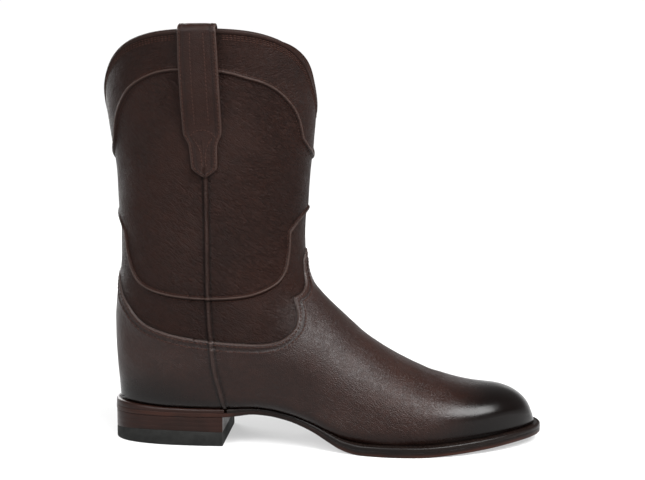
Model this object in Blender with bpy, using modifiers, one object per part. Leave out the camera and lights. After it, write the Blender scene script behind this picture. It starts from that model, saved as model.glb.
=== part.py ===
"""Roper boot, right foot. Millimetres inside, metres in the mesh.

+X toe, -Y lateral side, +Y medial side, +Z up, floor at z = 0.
The upper is one surface through a fan of sections: upright across the toe
and vamp, turning about a cross line in front of the instep, level in the shaft.
"""
import math
import bpy

MM = 0.001
FRAME_X = 0.83         # moves the measured frame so its box is centred
FRAME_Y = -0.09
PIVOT = (60.0, 140.0)  # (x, z) of the cross line the sections turn about
WALL = 2.2
GAP = 0.3
BREAST = -71.0


# ---------------------------------------------------------------- curves
def slopes(xs, ys):
    """Tangents of a monotone cubic through the rows."""
    n = len(xs)
    h = [xs[i + 1] - xs[i] for i in range(n - 1)]
    d = [(ys[i + 1] - ys[i]) / h[i] for i in range(n - 1)]
    m = [0.0] * n
    m[0], m[-1] = d[0], d[-1]
    for i in range(1, n - 1):
        if d[i - 1] * d[i] > 0:
            w1 = 2 * h[i] + h[i - 1]
            w2 = h[i] + 2 * h[i - 1]
            m[i] = (w1 + w2) / (w1 / d[i - 1] + w2 / d[i])
    return m


class Curve:
    """Smooth curve through rows of (x, y); keeps the end values outside."""

    def __init__(self, rows):
        rows = sorted(rows)
        self.x = [r[0] for r in rows]
        self.y = [r[1] for r in rows]
        self.m = slopes(self.x, self.y)

    def __call__(self, v):
        x, y, m = self.x, self.y, self.m
        if v <= x[0]:
            return y[0]
        if v >= x[-1]:
            return y[-1]
        lo, hi = 0, len(x) - 1
        while hi - lo > 1:
            mid = (lo + hi) // 2
            if x[mid] <= v:
                lo = mid
            else:
                hi = mid
        h = x[hi] - x[lo]
        t = (v - x[lo]) / h
        t2, t3 = t * t, t * t * t
        return ((2 * t3 - 3 * t2 + 1) * y[lo] + (t3 - 2 * t2 + t) * h * m[lo]
                + (-2 * t3 + 3 * t2) * y[hi] + (t3 - t2) * h * m[hi])


def closed_spline(points, per=6):
    """Closed centripetal spline through the points."""
    out = []
    n = len(points)
    for i in range(n):
        p = [points[(i + k) % n] for k in (-1, 0, 1, 2)]
        t = [0.0]
        for a, b in zip(p, p[1:]):
            t.append(t[-1] + max(1e-6, math.dist(a, b)) ** 0.5)
        for k in range(per):
            u = t[1] + (t[2] - t[1]) * k / per
            q = []
            for c in (0, 1):
                a1 = ((t[1] - u) * p[0][c] + (u - t[0]) * p[1][c]) / (t[1] - t[0])
                a2 = ((t[2] - u) * p[1][c] + (u - t[1]) * p[2][c]) / (t[2] - t[1])
                a3 = ((t[3] - u) * p[2][c] + (u - t[2]) * p[3][c]) / (t[3] - t[2])
                b1 = ((t[2] - u) * a1 + (u - t[0]) * a2) / (t[2] - t[0])
                b2 = ((t[3] - u) * a2 + (u - t[1]) * a3) / (t[3] - t[1])
                q.append(((t[2] - u) * b1 + (u - t[1]) * b2) / (t[2] - t[1]))
            out.append(tuple(q))
    return out


# ---------------------------------------------------------------- sole plan
# Walking round the sole from the rear, lateral side first: (x, y).
PLAN = [(-154, 2), (-152.4, -7.6), (-147, -16.2), (-138, -22.8), (-121, -28.6), (-98, -31.6),
        (-71, -32.2), (-45, -31.6), (-22, -33.2), (-5, -38), (12, -45.8), (30, -52),
        (48, -55), (66, -54.6), (84, -51.2), (102, -44.8), (119, -35.8), (134, -24.6),
        (146, -12.6), (152.2, -2.2), (154, 7.4), (152.2, 17), (146, 27.4), (134, 38.4),
        (118, 47), (99, 52.8), (80, 55), (60, 54), (42, 50), (24, 43.6), (6, 36.6),
        (-14, 31.6), (-36, 30), (-55, 32), (-72, 35.3), (-98, 35.4), (-121, 32.6),
        (-138, 26.8), (-147, 20.2), (-152.4, 11.6)]

# How far the foot of the upper stands in from the sole edge: (x, inset).
FEATHER = Curve([(-154, 3.4), (-140, 3.6), (-110, 3.4), (-71, 2.8), (-45, 2.2), (-20, 2.6),
                 (5, 4.6), (25, 7.2), (60, 8.2), (95, 7.6), (125, 6.2), (146, 5.1), (154, 4.8)])

# Sole edge in side view: underside, and top of the whole edge.
UNDER = Curve([(-154, 20.4), (-110, 20.5), (-71, 20.8), (-62, 21.6), (-50, 23.0), (-40, 22.3),
               (-26, 19.4), (-8, 12.8), (4, 6.6), (13.5, 2.3), (20, 0.7), (27, 0), (68, 0),
               (81, 0.55), (96, 1.6), (117, 3.2), (131, 4.3), (145, 5.2), (154, 5.6)])
TOP = Curve([(-154, 28.8), (-146, 28.5), (-130, 27.6), (-110, 26.9), (-90, 26.7), (-70, 26.8),
             (-50, 27.6), (-38, 26.6), (-26, 24.1), (-8, 18.2), (4, 12.9), (13.5, 9.2), (22, 7.6),
             (30, 7.1), (68, 7.1), (81, 7.6), (96, 8.6), (117, 10.1), (131, 11.1), (145, 11.9),
             (154, 12.3)])
THICK = Curve([(-154, 3.4), (-90, 3.2), (-60, 2.7), (-30, 2.7), (5, 3.4), (30, 3.9), (154, 3.9)])
LIFT = Curve([(-154, 7.4), (-145, 9.0), (-130, 10.3), (-110, 10.7), (-71, 10.1)])

SOLE_R, SOLE_T = -152.9, 154.6
plan = closed_spline(PLAN, 4)
lo_x, hi_x = min(p[0] for p in plan), max(p[0] for p in plan)
plan = [(SOLE_R + (SOLE_T - SOLE_R) * (x - lo_x) / (hi_x - lo_x), y) for x, y in plan]
N_PLAN = len(plan)


def inset(points, amount):
    """Closed outline moved inwards by amount(x) along its own normal."""
    out = []
    n = len(points)
    for i, (x, y) in enumerate(points):
        ax, ay = points[i - 1]
        bx, by = points[(i + 1) % n]
        tx, ty = bx - ax, by - ay
        k = math.hypot(tx, ty)
        a = amount(x)
        out.append((x - ty / k * a, y + tx / k * a))
    return out


def sides(points):
    """Lateral and medial y of an outline as curves of x."""
    n = len(points)
    r = min(range(n), key=lambda i: points[i][0])
    f = max(range(n), key=lambda i: points[i][0])
    ring = [points[(r + i) % n] for i in range(n)]
    k = (f - r) % n
    lat, med = ring[:k + 1], ring[k:] + [ring[0]]

    def clean(run):
        keep = [run[0]]
        for p in run[1:]:
            if p[0] > keep[-1][0] + 1e-4:
                keep.append(p)
        return keep
    lat = clean(lat)
    med = clean(list(reversed(med)))
    return Poly(lat), Poly(med), points[r][0], points[f][0]


class Poly:
    """Straight-line lookup, fine where the points are close together."""

    def __init__(self, pts):
        self.x = [p[0] for p in pts]
        self.y = [p[1] for p in pts]

    def __call__(self, v):
        x, y = self.x, self.y
        if v <= x[0]:
            return y[0]
        if v >= x[-1]:
            return y[-1]
        lo, hi = 0, len(x) - 1
        while hi - lo > 1:
            mid = (lo + hi) // 2
            if x[mid] <= v:
                lo = mid
            else:
                hi = mid
        t = (v - x[lo]) / (x[hi] - x[lo])
        return y[lo] + (y[hi] - y[lo]) * t


fine = closed_spline(PLAN, 24)
fine = [(SOLE_R + (SOLE_T - SOLE_R) * (x - lo_x) / (hi_x - lo_x), y) for x, y in fine]
foot_lat, foot_med, FOOT_R, FOOT_T = sides(inset(fine, FEATHER))


def foot_z(x):
    return TOP(x) + 0.45


# ---------------------------------------------------------------- outlines of the upper
# Rear line of the upper, (z, x), and its front line, (z, x) up the shaft.
REAR = [(30, -149.3), (40, -149.9), (51.5, -150.9), (63, -151.6), (75, -152.0), (87, -152.0),
        (99, -151.2), (110, -150.0), (122, -148.9), (136, -148.0), (151, -148.0), (163, -148.6),
        (175, -149.2), (190, -149.8), (204, -151.2), (216, -153.0), (231, -155.2), (243, -156.7),
        (254, -157.5), (270, -157.4), (292, -157.6)]
FRONT = [(83, 20.2), (88.7, 14.1), (94.4, 8.1), (100, 2.4), (106, -3.2), (112, -8.0),
         (118, -11.0), (124, -12.6), (135, -13.6), (148, -14.0), (158, -13.7), (169, -12.6),
         (180, -12.0), (193, -11.0), (205, -9.7), (216, -8.9), (228, -7.8), (240, -7.2),
         (254, -7.4), (270, -6.0), (292, -5.0)]
# Ridge of the vamp from the tip of the toe, (x, z).
RIDGE = [(149.2, 15.9), (147.9, 20.0), (145.5, 25.4), (141.5, 30.3), (135.7, 34.4),
         (130.0, 36.8), (124.3, 38.3), (119, 39.0), (113.3, 39.4), (107.5, 39.9), (96.7, 41.9),
         (78.9, 47.4), (65.3, 53.2), (53.4, 59.2), (43.6, 65.0), (34.8, 70.9), (26.9, 76.8)]

tip_x = FOOT_T
tip_y = 0.5 * (foot_lat(tip_x - 0.3) + foot_med(tip_x - 0.3))
tip_z = foot_z(tip_x)

ridge_pts = [(tip_x, tip_z)] + RIDGE + [(x, z) for z, x in FRONT]
arc = [0.0]
for a, b in zip(ridge_pts, ridge_pts[1:]):
    arc.append(arc[-1] + math.dist(a, b))
ridge_x = Curve([(s, p[0]) for s, p in zip(arc, ridge_pts)])
ridge_z = Curve([(s, p[1]) for s, p in zip(arc, ridge_pts)])
rear_x = Curve(REAR)
front_x = Curve(FRONT)

# Lower and rear boundary as seen from the pivot: angle -> (x, z).
ring = []
for i in range(241):
    x = PIVOT[0] + (FOOT_R - PIVOT[0]) * i / 240
    ring.append((x, foot_z(x)))
for i in range(1, 121):
    z = foot_z(FOOT_R) + (PIVOT[1] - foot_z(FOOT_R)) * i / 120
    ring.append((rear_x(z), z))
ring_angle = [math.degrees(math.atan2(PIVOT[1] - z, PIVOT[0] - x)) for x, z in ring]
low_x = Poly(sorted(zip(ring_angle, [p[0] for p in ring])))
low_z = Poly(sorted(zip(ring_angle, [p[1] for p in ring])))
TURN = ring_angle[240]      # angle of the rear end of the foot line

# ---------------------------------------------------------------- sections
# key: over 90 upright sections, 90 + (x - 60); 90..0 angle about the pivot;
# under 0 level sections, -(z - 140).
# lat, med: widest y; latE, medE: y the side runs towards at the low end;
# ridge: y of the ridge; rear: y of the rear seam; wide: where along the
# section it is widest; p, q: fullness before and after that point.
SECTIONS = [
    # key    lat    med    latE   medE  ridge rear wide   p     q
    (179.0, -47.9, 47.2, -47.5, 46.6, 5.8, 1.8, 0.60, 2.15, 2.8),
    (150.0, -47.9, 47.2, -47.5, 46.6, 5.4, 1.8, 0.66, 2.35, 3.3),
    (120.0, -47.9, 47.2, -47.5, 46.6, 4.6, 1.8, 0.70, 2.25, 3.5),
    (90.0, -47.9, 47.2, -47.5, 46.6, 3.6, 1.8, 0.72, 2.12, 3.5),
    (75.0, -45.6, 44.8, -44.8, 43.6, 3.0, 1.8, 0.68, 2.02, 3.4),
    (65.0, -43.6, 43.2, -42.0, 40.4, 2.4, 1.8, 0.60, 1.97, 3.2),
    (55.0, -43.2, 43.4, -38.6, 37.6, 1.8, 1.8, 0.52, 1.95, 3.2),
    (45.0, -44.2, 44.6, -35.6, 36.6, 1.4, 1.8, 0.46, 1.95, 3.2),
    (37.0, -44.8, 45.2, -34.0, 37.2, 1.0, 1.8, 0.42, 1.95, 3.3),
    (31.0, -45.1, 45.6, -33.2, 36.4, 0.8, 1.6, 0.40, 1.95, 3.4),
    (27.2, -45.2, 45.8, -32.8, 36.0, 0.7, 1.8, 0.40, 1.95, 3.4),
    (22.0, -45.2, 46.2, -33.6, 36.2, 0.6, 1.8, 0.41, 1.95, 3.15),
    (14.0, -45.2, 46.8, -37.4, 38.8, 0.7, 1.4, 0.44, 1.95, 2.7),
    (7.0, -45.1, 47.4, -40.8, 42.2, 1.0, 1.2, 0.47, 1.96, 2.45),
    (0.0, -45.0, 48.2, -42.6, 44.8, 1.4, 1.4, 0.49, 1.98, 2.3),
    (-25.0, -45.0, 49.6, -43.0, 46.6, 2.2, 2.2, 0.50, 2.0, 2.15),
    (-60.0, -45.6, 52.0, -43.6, 49.4, 3.0, 3.0, 0.50, 2.0, 2.08),
    (-100.0, -47.6, 53.6, -45.8, 51.4, 3.0, 3.0, 0.50, 2.0, 2.0),
    (-122.0, -49.4, 54.8, -47.6, 52.8, 2.6, 2.6, 0.50, 2.0, 2.0),
    (-152.0, -52.8, 57.2, -51.0, 55.2, 2.2, 2.2, 0.50, 2.0, 2.0),
]
# How far forward the rounding of the rear reaches, and how full it is.
REACH = Curve([(-152, 76), (-100, 75), (-60, 71), (0, 67), (14, 62), (22, 59), (27.2, 58),
               (179, 58)])
ROUND = Curve([(-152, 2.0), (-60, 2.05), (0, 2.1), (27.2, 2.15), (179, 2.15)])
# How far along a turning section it is widest, in millimetres.
WIDEST = Curve([(0, 65.7), (7, 65.2), (14, 64.4), (22, 63.2), (28, 61.2), (31, 58.8), (37, 50.5),
                (45, 42.5), (55, 38.6), (65, 37.8), (75, 37.2), (90, 34.8)])
# Length over which the side eases in behind the widest point.
EASE = Curve([(-152, 76), (-100, 75), (-60, 70.5), (0, 68.3), (7, 74), (14, 82), (22, 90),
              (26, 93), (28.5, 92), (31, 87), (34, 78.5), (37, 69), (45, 49), (55, 35),
              (65, 26.7), (75, 19.8), (90, 13)])
TUCK = 8.0                  # height over which the side rolls in to the sole
COLS = ("lat", "med", "latE", "medE", "ridge", "rear", "wide", "p", "q")
TABLE = {c: Curve([(r[0], r[k + 1]) for r in SECTIONS]) for k, c in enumerate(COLS)}


def section_at(key, s=None):
    """Everything one section needs; s is the ridge length for a foot section."""
    g = {c: TABLE[c](key) for c in COLS}
    if key < 0:
        z = 140 - key
        g["top"] = (front_x(z), z)
        g["low"] = (rear_x(z), z)
        g["closed"] = True
    else:
        g["top"] = (ridge_x(s), ridge_z(s))
        if key > 90:
            x = g["top"][0]
            g["low"] = (x, foot_z(x))
            g["closed"] = False
        else:
            g["low"] = (low_x(key), low_z(key))
            g["closed"] = key <= TURN
    g["seam"] = g["rear"]
    if g["closed"]:
        g["lat0"] = g["med0"] = g["rear"]
    else:
        x = g["low"][0]
        g["lat0"], g["med0"] = foot_lat(x), foot_med(x)
    if key > 90:
        half = 0.5 * (g["med0"] - g["lat0"])
        swell = 1.25 * (1 - math.exp(-half / 9.0))
        mid = 0.5 * (g["med0"] + g["lat0"])
        g["lat"] = g["lat0"] - swell
        g["med"] = g["med0"] + swell
        g["latE"] = g["lat"] + 0.3 * swell
        g["medE"] = g["med"] - 0.3 * swell
        w = min(1.0, half / 30.0)
        g["ridge"] = mid + (g["ridge"] - mid) * w
    (tx, tz), (bx, bz) = g["top"], g["low"]
    if 0 <= key <= 90:
        g["wide"] = WIDEST(key) / math.dist(g["top"], g["low"])
    wide = g["wide"]
    g["tuck"] = min(TUCK, 0.9 * (1 - wide) * (tz - bz)) if key >= 0 else 0.0
    room = tx + (bx - tx) * wide - rear_x(tz + (bz - tz) * wide)
    g["reach"] = min(REACH(key), 0.98 * room)
    g["round"] = ROUND(key)
    span = (1 - wide) * math.dist(g["top"], g["low"])
    g["ease"] = span / EASE(key) if key <= 90 else 1.0
    return g


def key_of(s):
    x, z = ridge_x(s), ridge_z(s)
    if x >= PIVOT[0]:
        return 90 + (x - PIVOT[0])
    if z < PIVOT[1]:
        return math.degrees(math.atan2(PIVOT[1] - z, PIVOT[0] - x))
    return -(z - PIVOT[1])


def on_section(g, side, t):
    """Point at t = 0 (ridge) .. 1 (widest) .. 2 (low end); side -1 lateral, 1 medial."""
    wide, p, q = g["wide"], g["p"], g["q"]
    edge = g["lat"] if side < 0 else g["med"]
    if t <= 1.0:
        a = t * math.pi / 2
        r = wide * (1 - max(0.0, math.cos(a)) ** (2 / p))
        y = g["ridge"] + (edge - g["ridge"]) * math.sin(a) ** (2 / p)
    else:
        v = math.sin((t - 1.0) * math.pi / 2) ** (2 / q)
        r = wide + (1 - wide) * v
        x = g["top"][0] + (g["low"][0] - g["top"][0]) * r
        z = g["top"][1] + (g["low"][1] - g["top"][1]) * r
        return (x, rear_part(g, side, v, x, z), z)
    x = g["top"][0] + (g["low"][0] - g["top"][0]) * r
    z = g["top"][1] + (g["low"][1] - g["top"][1]) * r
    return (x, y, z)


def rear_part(g, side, v, x, z):
    """y past the widest point: easing in, rounding the rear, rolling in at the sole."""
    edge = g["lat"] if side < 0 else g["med"]
    late = g["latE"] if side < 0 else g["medE"]
    v = min(1.0, v * g["ease"])
    y = edge + (late - edge) * v * v * (3 - 2 * v)
    d = (x - rear_x(z)) / g["reach"]
    if d < 1.0:
        m = g["round"]
        full = (1 - (1 - max(0.0, d)) ** m) ** (1 / m)
        y = g["seam"] + (y - g["seam"]) * full
    h = z - foot_z(x)
    if h < g["tuck"]:
        k = 1 - math.sqrt(max(0.0, 1 - (1 - max(0.0, h) / g["tuck"]) ** 2))
        foot = foot_lat(x) if side < 0 else foot_med(x)
        y += (foot - y) * k
    return y


# Height of the rim by how far out to the side it is, (share of half width, z).
RIM = Curve([(0, 236), (0.135, 245.5), (0.25, 255), (0.35, 262), (0.5, 271.5), (0.7, 281.2),
             (0.84, 286), (0.93, 288.3), (1.0, 289.5)])


def rim_z(side, t):
    g = section_at(-130.0)
    y = on_section(g, side, t)[1]
    half = abs((g["lat"] if side < 0 else g["med"]) - g["ridge"])
    return RIM(min(1.0, abs(y - g["ridge"]) / half))


def shaft_y(side, x, z):
    """y of the shaft's outer face at a point of the side view, for z over 140."""
    g = section_at(-(z - 140))
    r = (g["top"][0] - x) / (g["top"][0] - g["low"][0])
    r = min(max(r, 0.0), 1.0)
    edge = g["lat"] if side < 0 else g["med"]
    if r <= g["wide"]:
        k = (1 - (1 - r / g["wide"]) ** g["p"]) ** (1 / g["p"])
        return g["ridge"] + (edge - g["ridge"]) * k
    v = (r - g["wide"]) / (1 - g["wide"])
    return rear_part(g, side, v, x, z)


# ---------------------------------------------------------------- building
for old in list(bpy.data.objects):
    bpy.data.objects.remove(old, do_unlink=True)

group = bpy.data.collections.new("roper_boot")
bpy.context.scene.collection.children.link(group)


def material(name, color, rough, coat=0.0):
    m = bpy.data.materials.new(name)
    m.use_nodes = True
    b = m.node_tree.nodes["Principled BSDF"]
    b.inputs["Base Color"].default_value = (*color, 1.0)
    b.inputs["Roughness"].default_value = rough
    b.inputs["Coat Weight"].default_value = coat
    m.diffuse_color = (*color, 1.0)
    return m


def add(name, verts, faces, mat):
    me = bpy.data.meshes.new(name)
    me.from_pydata([((x + FRAME_X) * MM, (y + FRAME_Y) * MM, z * MM) for x, y, z in verts], [], faces)
    me.update()
    me.materials.append(mat)
    ob = bpy.data.objects.new(name, me)
    group.objects.link(ob)
    return ob


leather_dark = material("upper_leather", (0.030, 0.016, 0.012), 0.42, 0.25)
leather_strap_l = material("strap_leather_lateral", (0.028, 0.015, 0.011), 0.45, 0.2)
leather_strap_m = material("strap_leather_medial", (0.028, 0.015, 0.011), 0.45, 0.2)
leather_insole = material("insole_leather", (0.36, 0.22, 0.12), 0.7)
leather_welt = material("welt_leather", (0.018, 0.010, 0.008), 0.4, 0.2)
leather_rand = material("rand_leather", (0.018, 0.010, 0.008), 0.4, 0.2)
leather_sole = material("outsole_leather", (0.075, 0.030, 0.018), 0.5, 0.1)
leather_stack = material("stack_leather", (0.085, 0.034, 0.020), 0.45, 0.2)
rubber_lift = material("lift_rubber", (0.022, 0.021, 0.021), 0.75)

# ---- upper: rows of sections up to the collar, then rows draped to the rim
N_FRONT, N_LOW = 8, 12
steps = [i / N_FRONT for i in range(N_FRONT + 1)] + \
        [1 + i / N_LOW for i in range(1, N_LOW + 1)]
columns = [(-1, t) for t in reversed(steps)] + [(1, t) for t in steps[1:]]


def solve_s(test):
    """Ridge length where test(s) turns true, test being false at the toe."""
    a, b = 0.0, arc[-1]
    for _ in range(50):
        m = 0.5 * (a + b)
        if test(m):
            b = m
        else:
            a = m
    return b


stations, s = [], 0.0
for step in (2.6, 3.2, 4.0, 5.0, 6.2, 7.6, 9.2, 10.6, 11.6, 12.0, 12.0, 12.0):
    s += step
    if ridge_x(s) > PIVOT[0] + 5:
        stations.append(s)
for x in (60, 48, 36, 25, 15, 5, -5, -15, -26, -38, -50, -64, -80, -96, -112, -126, -137, -144.5,
          -148.3):
    stations.append(solve_s(lambda v, x=x: key_of(v) < 90 and low_x(key_of(v)) <= x
                            or key_of(v) <= TURN))
s_turn = solve_s(lambda v: key_of(v) <= TURN)
stations.append(s_turn + 1e-4)
for z in (40, 52, 66, 82, 99, 118):
    stations.append(solve_s(lambda v, z=z: key_of(v) < TURN and low_z(key_of(v)) >= z))
DRAPE = 172.0
levels = [140.0, 156.0]
drape_rows = 9

verts = [(tip_x, tip_y, tip_z)]
faces = []
rows = []


def add_row(points, closed):
    row = []
    for k, pt in enumerate(points):
        if closed and k == len(points) - 1:
            row.append(row[0])
        else:
            verts.append(pt)
            row.append(len(verts) - 1)
    rows.append(row)


for v in stations:
    g = section_at(key_of(v), v)
    add_row([on_section(g, sd, t) for sd, t in columns], g["closed"])
for z in levels:
    g = section_at(-(z - 140) - 1e-6)
    add_row([on_section(g, sd, t) for sd, t in columns], True)
for i in range(drape_rows + 1):
    f = i / drape_rows
    pts = []
    for sd, t in columns:
        z = DRAPE + (rim_z(sd, t) - DRAPE) * f
        pts.append(on_section(section_at(-(z - 140)), sd, t))
    add_row(pts, True)

first = rows[0]
for a, b in zip(first, first[1:]):
    faces.append((0, a, b))
for lower, upper_row in zip(rows, rows[1:]):
    for k in range(len(columns) - 1):
        quad = [lower[k], upper_row[k], upper_row[k + 1], lower[k + 1]]
        face = [v for i, v in enumerate(quad) if v != quad[i - 1]]
        if len(face) > 2:
            faces.append(tuple(face))
upper = add("upper", verts, faces, leather_dark)
wall = upper.modifiers.new("wall", "SOLIDIFY")
wall.thickness = WALL * MM
wall.offset = -1.0
wall.use_even_offset = True
wall.use_quality_normals = True


# ---- flat pieces: strips across the foot, paired lateral and medial
def end_spaced(a, b, n, round_a, round_b):
    out = []
    for i in range(n + 1):
        u = i / n
        if round_a and round_b:
            u = 0.5 - 0.5 * math.cos(u * math.pi)
        elif round_a:
            u = 1 - math.cos(u * math.pi / 2)
        elif round_b:
            u = math.sin(u * math.pi / 2)
        out.append(a + (b - a) * u)
    return out


def plate(name, outline, low, high, n, mat, cut=None):
    lat, med, xr, xt = sides(outline)
    xs = end_spaced(xr, xt if cut is None else cut, n, True, cut is None)
    vs, fs = [], []
    ends = {0, n} if cut is None else {0}
    idx = []
    for i, x in enumerate(xs):
        if i in ends:
            y = 0.5 * (lat(x) + med(x))
            base = len(vs)
            vs += [(x, y, low(x)), (x, y, high(x))]
            idx.append((base, base + 1, base, base + 1))
        else:
            base = len(vs)
            vs += [(x, lat(x), low(x)), (x, lat(x), high(x)),
                   (x, med(x), low(x)), (x, med(x), high(x))]
            idx.append((base, base + 1, base + 2, base + 3))

    def tidy(f):
        return [v for i, v in enumerate(f) if v != f[i - 1]]
    for a, b in zip(idx, idx[1:]):
        for f in ((a[0], a[2], b[2], b[0]), (a[1], b[1], b[3], a[3]),
                  (a[0], b[0], b[1], a[1]), (a[2], a[3], b[3], b[2])):
            f = tidy(f)
            if len(f) > 2:
                fs.append(tuple(f))
    if cut is not None:
        e = idx[-1]
        fs.append((e[0], e[2], e[3], e[1]))
    return add(name, vs, fs, mat)


def flat(v):
    return lambda x: v


edge = inset(fine, lambda x: 0.0)
plate("outsole", edge, UNDER, lambda x: UNDER(x) + THICK(x), 56, leather_sole)
plate("insole", inset(fine, lambda x: FEATHER(x) + 3.0),
      lambda x: UNDER(x) + THICK(x) + GAP, lambda x: TOP(x) + 0.1, 44, leather_insole)
plate("heel_stack", inset(fine, lambda x: 0.5), lambda x: LIFT(x) + GAP,
      lambda x: UNDER(x) - GAP, 22, leather_stack, cut=BREAST)
plate("top_lift", inset(fine, lambda x: 0.2), flat(0.0), LIFT, 22, rubber_lift, cut=BREAST - 0.3)


# ---- strips along the edge of the sole
def strip(name, path, outer, mat, raise_in=0.0):
    """Four-sided strip following the outline by index, outer edge set in by outer."""
    vs, fs = [], []
    out_line = inset(plan, flat(outer))
    in_line = inset(plan, lambda x: FEATHER(x) + 2.6)
    for i in path:
        ox, oy = out_line[i % N_PLAN]
        ix, iy = in_line[i % N_PLAN]
        vs += [(ox, oy, UNDER(ox) + THICK(ox) + GAP), (ox, oy, TOP(ox)),
               (ix, iy, TOP(ix) + raise_in), (ix, iy, UNDER(ix) + THICK(ix) + GAP)]
    n = len(path)
    for i in range(n - 1):
        a, b = 4 * i, 4 * i + 4
        for k in range(4):
            fs.append((a + k, b + k, b + (k + 1) % 4, a + (k + 1) % 4))
    fs.append((3, 2, 1, 0)[::-1])
    e = 4 * (n - 1)
    fs.append((e + 3, e + 2, e + 1, e))
    ob = add(name, vs, fs, mat)
    return ob


lat_break = min(range(N_PLAN // 2), key=lambda i: abs(plan[i][0] - BREAST))
med_break = min(range(N_PLAN // 2, N_PLAN), key=lambda i: abs(plan[i][0] - BREAST))
strip("welt", list(range(lat_break + 1, med_break)), 0.0, leather_welt)
strip("heel_rand", [i % N_PLAN for i in range(med_break, lat_break + N_PLAN + 1)], 0.4,
      leather_rand)

# ---- pull straps: middle line and half width by height, and how far the
# outer leg stands off the shaft
STRAP_MID = Curve([(190, -79.6), (226, -81.2), (262, -82.2), (296, -82.8)])
STRAP_HALF = Curve([(190.6, 0.4), (193, 4.4), (197.3, 8.9), (205, 9.4), (212.5, 9.9), (216, 11.2),
                    (219.8, 13.1), (226, 13.5), (262, 13.6), (296, 12.9)])
STRAP = {
    -1: dict(name="pull_strap_lateral", mat=leather_strap_l, thick=2.3, rise=5.4,
             off=Curve([(190, 0.35), (221, 0.35), (232, 1.5), (246, 3.6), (262, 4.9), (278, 5.4),
                        (290, 5.15)])),
    1: dict(name="pull_strap_medial", mat=leather_strap_m, thick=2.3, rise=4.4,
            off=Curve([(190, 0.35), (226, 0.35), (240, 0.6), (256, 0.9), (272, 1.0), (290, 0.85)])),
}
LOOP_Z = 288.6     # the bend over the rim is centred here
INNER_OFF = 0.5    # clearance of the inner leg to the lining face
INNER_END = 252.0


def strap_path(side):
    """Stations (z or bend angle) from the tip outside to the end inside:
    (height used for width, function of x giving outer y and z, same for inner)."""
    spec = STRAP[side]
    rows = []
    outs = [190.7, 192.4, 194.6, 197.3, 202, 207.5, 212.5, 216, 219.8, 224, 230, 238, 247,
            257, 268, 279, 289]
    for z in outs:
        def face(x, z=z):
            y = shaft_y(side, x, z)
            a = y + side * spec["off"](z)
            return (a + side * spec["thick"], z), (a, z)
        rows.append((z, face))
    for k in range(1, 8):
        ang = math.pi * k / 8

        def face(x, ang=ang):
            y = shaft_y(side, x, LOOP_Z)
            out = y + side * (spec["off"](LOOP_Z) + spec["thick"])
            inn = y - side * (WALL + INNER_OFF + spec["thick"] + 0.25)
            c, r = 0.5 * (out + inn), 0.5 * abs(out - inn)
            rise = spec["rise"]
            return ((c + side * r * math.cos(ang), LOOP_Z + rise * math.sin(ang)),
                    (c + side * (r - spec["thick"]) * math.cos(ang),
                     LOOP_Z + (rise - spec["thick"]) * math.sin(ang)))
        rows.append((295.0, face))
    for z in (289, 280, 270, 261, INNER_END):
        def face(x, z=z):
            y = shaft_y(side, x, z)
            a = y - side * (WALL + INNER_OFF + 0.25)
            return (a - side * spec["thick"], z), (a, z)
        rows.append((max(z, 262.0), face))
    return rows


def strap(side):
    spec = STRAP[side]
    across = [-1, -0.5, 0, 0.5, 1]
    vs, fs = [], []
    path = strap_path(side)
    for zw, face in path:
        mid, half = STRAP_MID(zw), STRAP_HALF(zw)
        for layer in (0, 1):
            for u in across:
                x = mid + half * u
                y, z = face(x)[layer]
                vs.append((x, y, z))
    n = len(across)
    for i in range(len(path) - 1):
        a, b = i * 2 * n, (i + 1) * 2 * n
        for k in range(n - 1):
            fs.append((a + k, a + k + 1, b + k + 1, b + k))
            fs.append((a + n + k, b + n + k, b + n + k + 1, a + n + k + 1))
        fs.append((a, b, b + n, a + n))
        fs.append((a + n - 1, a + 2 * n - 1, b + 2 * n - 1, b + n - 1))
    e = (len(path) - 1) * 2 * n
    for k in range(n - 1):
        fs.append((k, k + n, k + n + 1, k + 1))
        fs.append((e + k, e + k + 1, e + n + k + 1, e + n + k))
    add(spec["name"], vs, fs, spec["mat"])


strap(-1)
strap(1)

# ---- faces outwards on every piece
import bmesh  # noqa: E402
for ob in group.objects:
    bm = bmesh.new()
    bm.from_mesh(ob.data)
    if ob.name == "upper":
        # the open shell: turn it so the toe faces forwards
        bm.faces.ensure_lookup_table()
        bmesh.ops.recalc_face_normals(bm, faces=bm.faces)
        top = max(bm.faces, key=lambda f: f.calc_center_median().x)
        if top.normal.x < 0:
            bmesh.ops.reverse_faces(bm, faces=bm.faces)
    else:
        bmesh.ops.recalc_face_normals(bm, faces=bm.faces)
    bm.to_mesh(ob.data)
    bm.free()
    if ob.name in {"upper"}:
        for poly in ob.data.polygons:
            poly.use_smooth = True
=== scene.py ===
"""Looks of a roper boot, right foot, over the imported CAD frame.

The surface functions are the same as in the CAD source, in millimetres.
The skin is one fine surface cut along its seams into collar, shaft, lower
shaft, and foot panels; cords, steps and creases are real geometry.
"""
import math
import bpy
import numpy as np
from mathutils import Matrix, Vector
from mathutils.kdtree import KDTree


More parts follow.
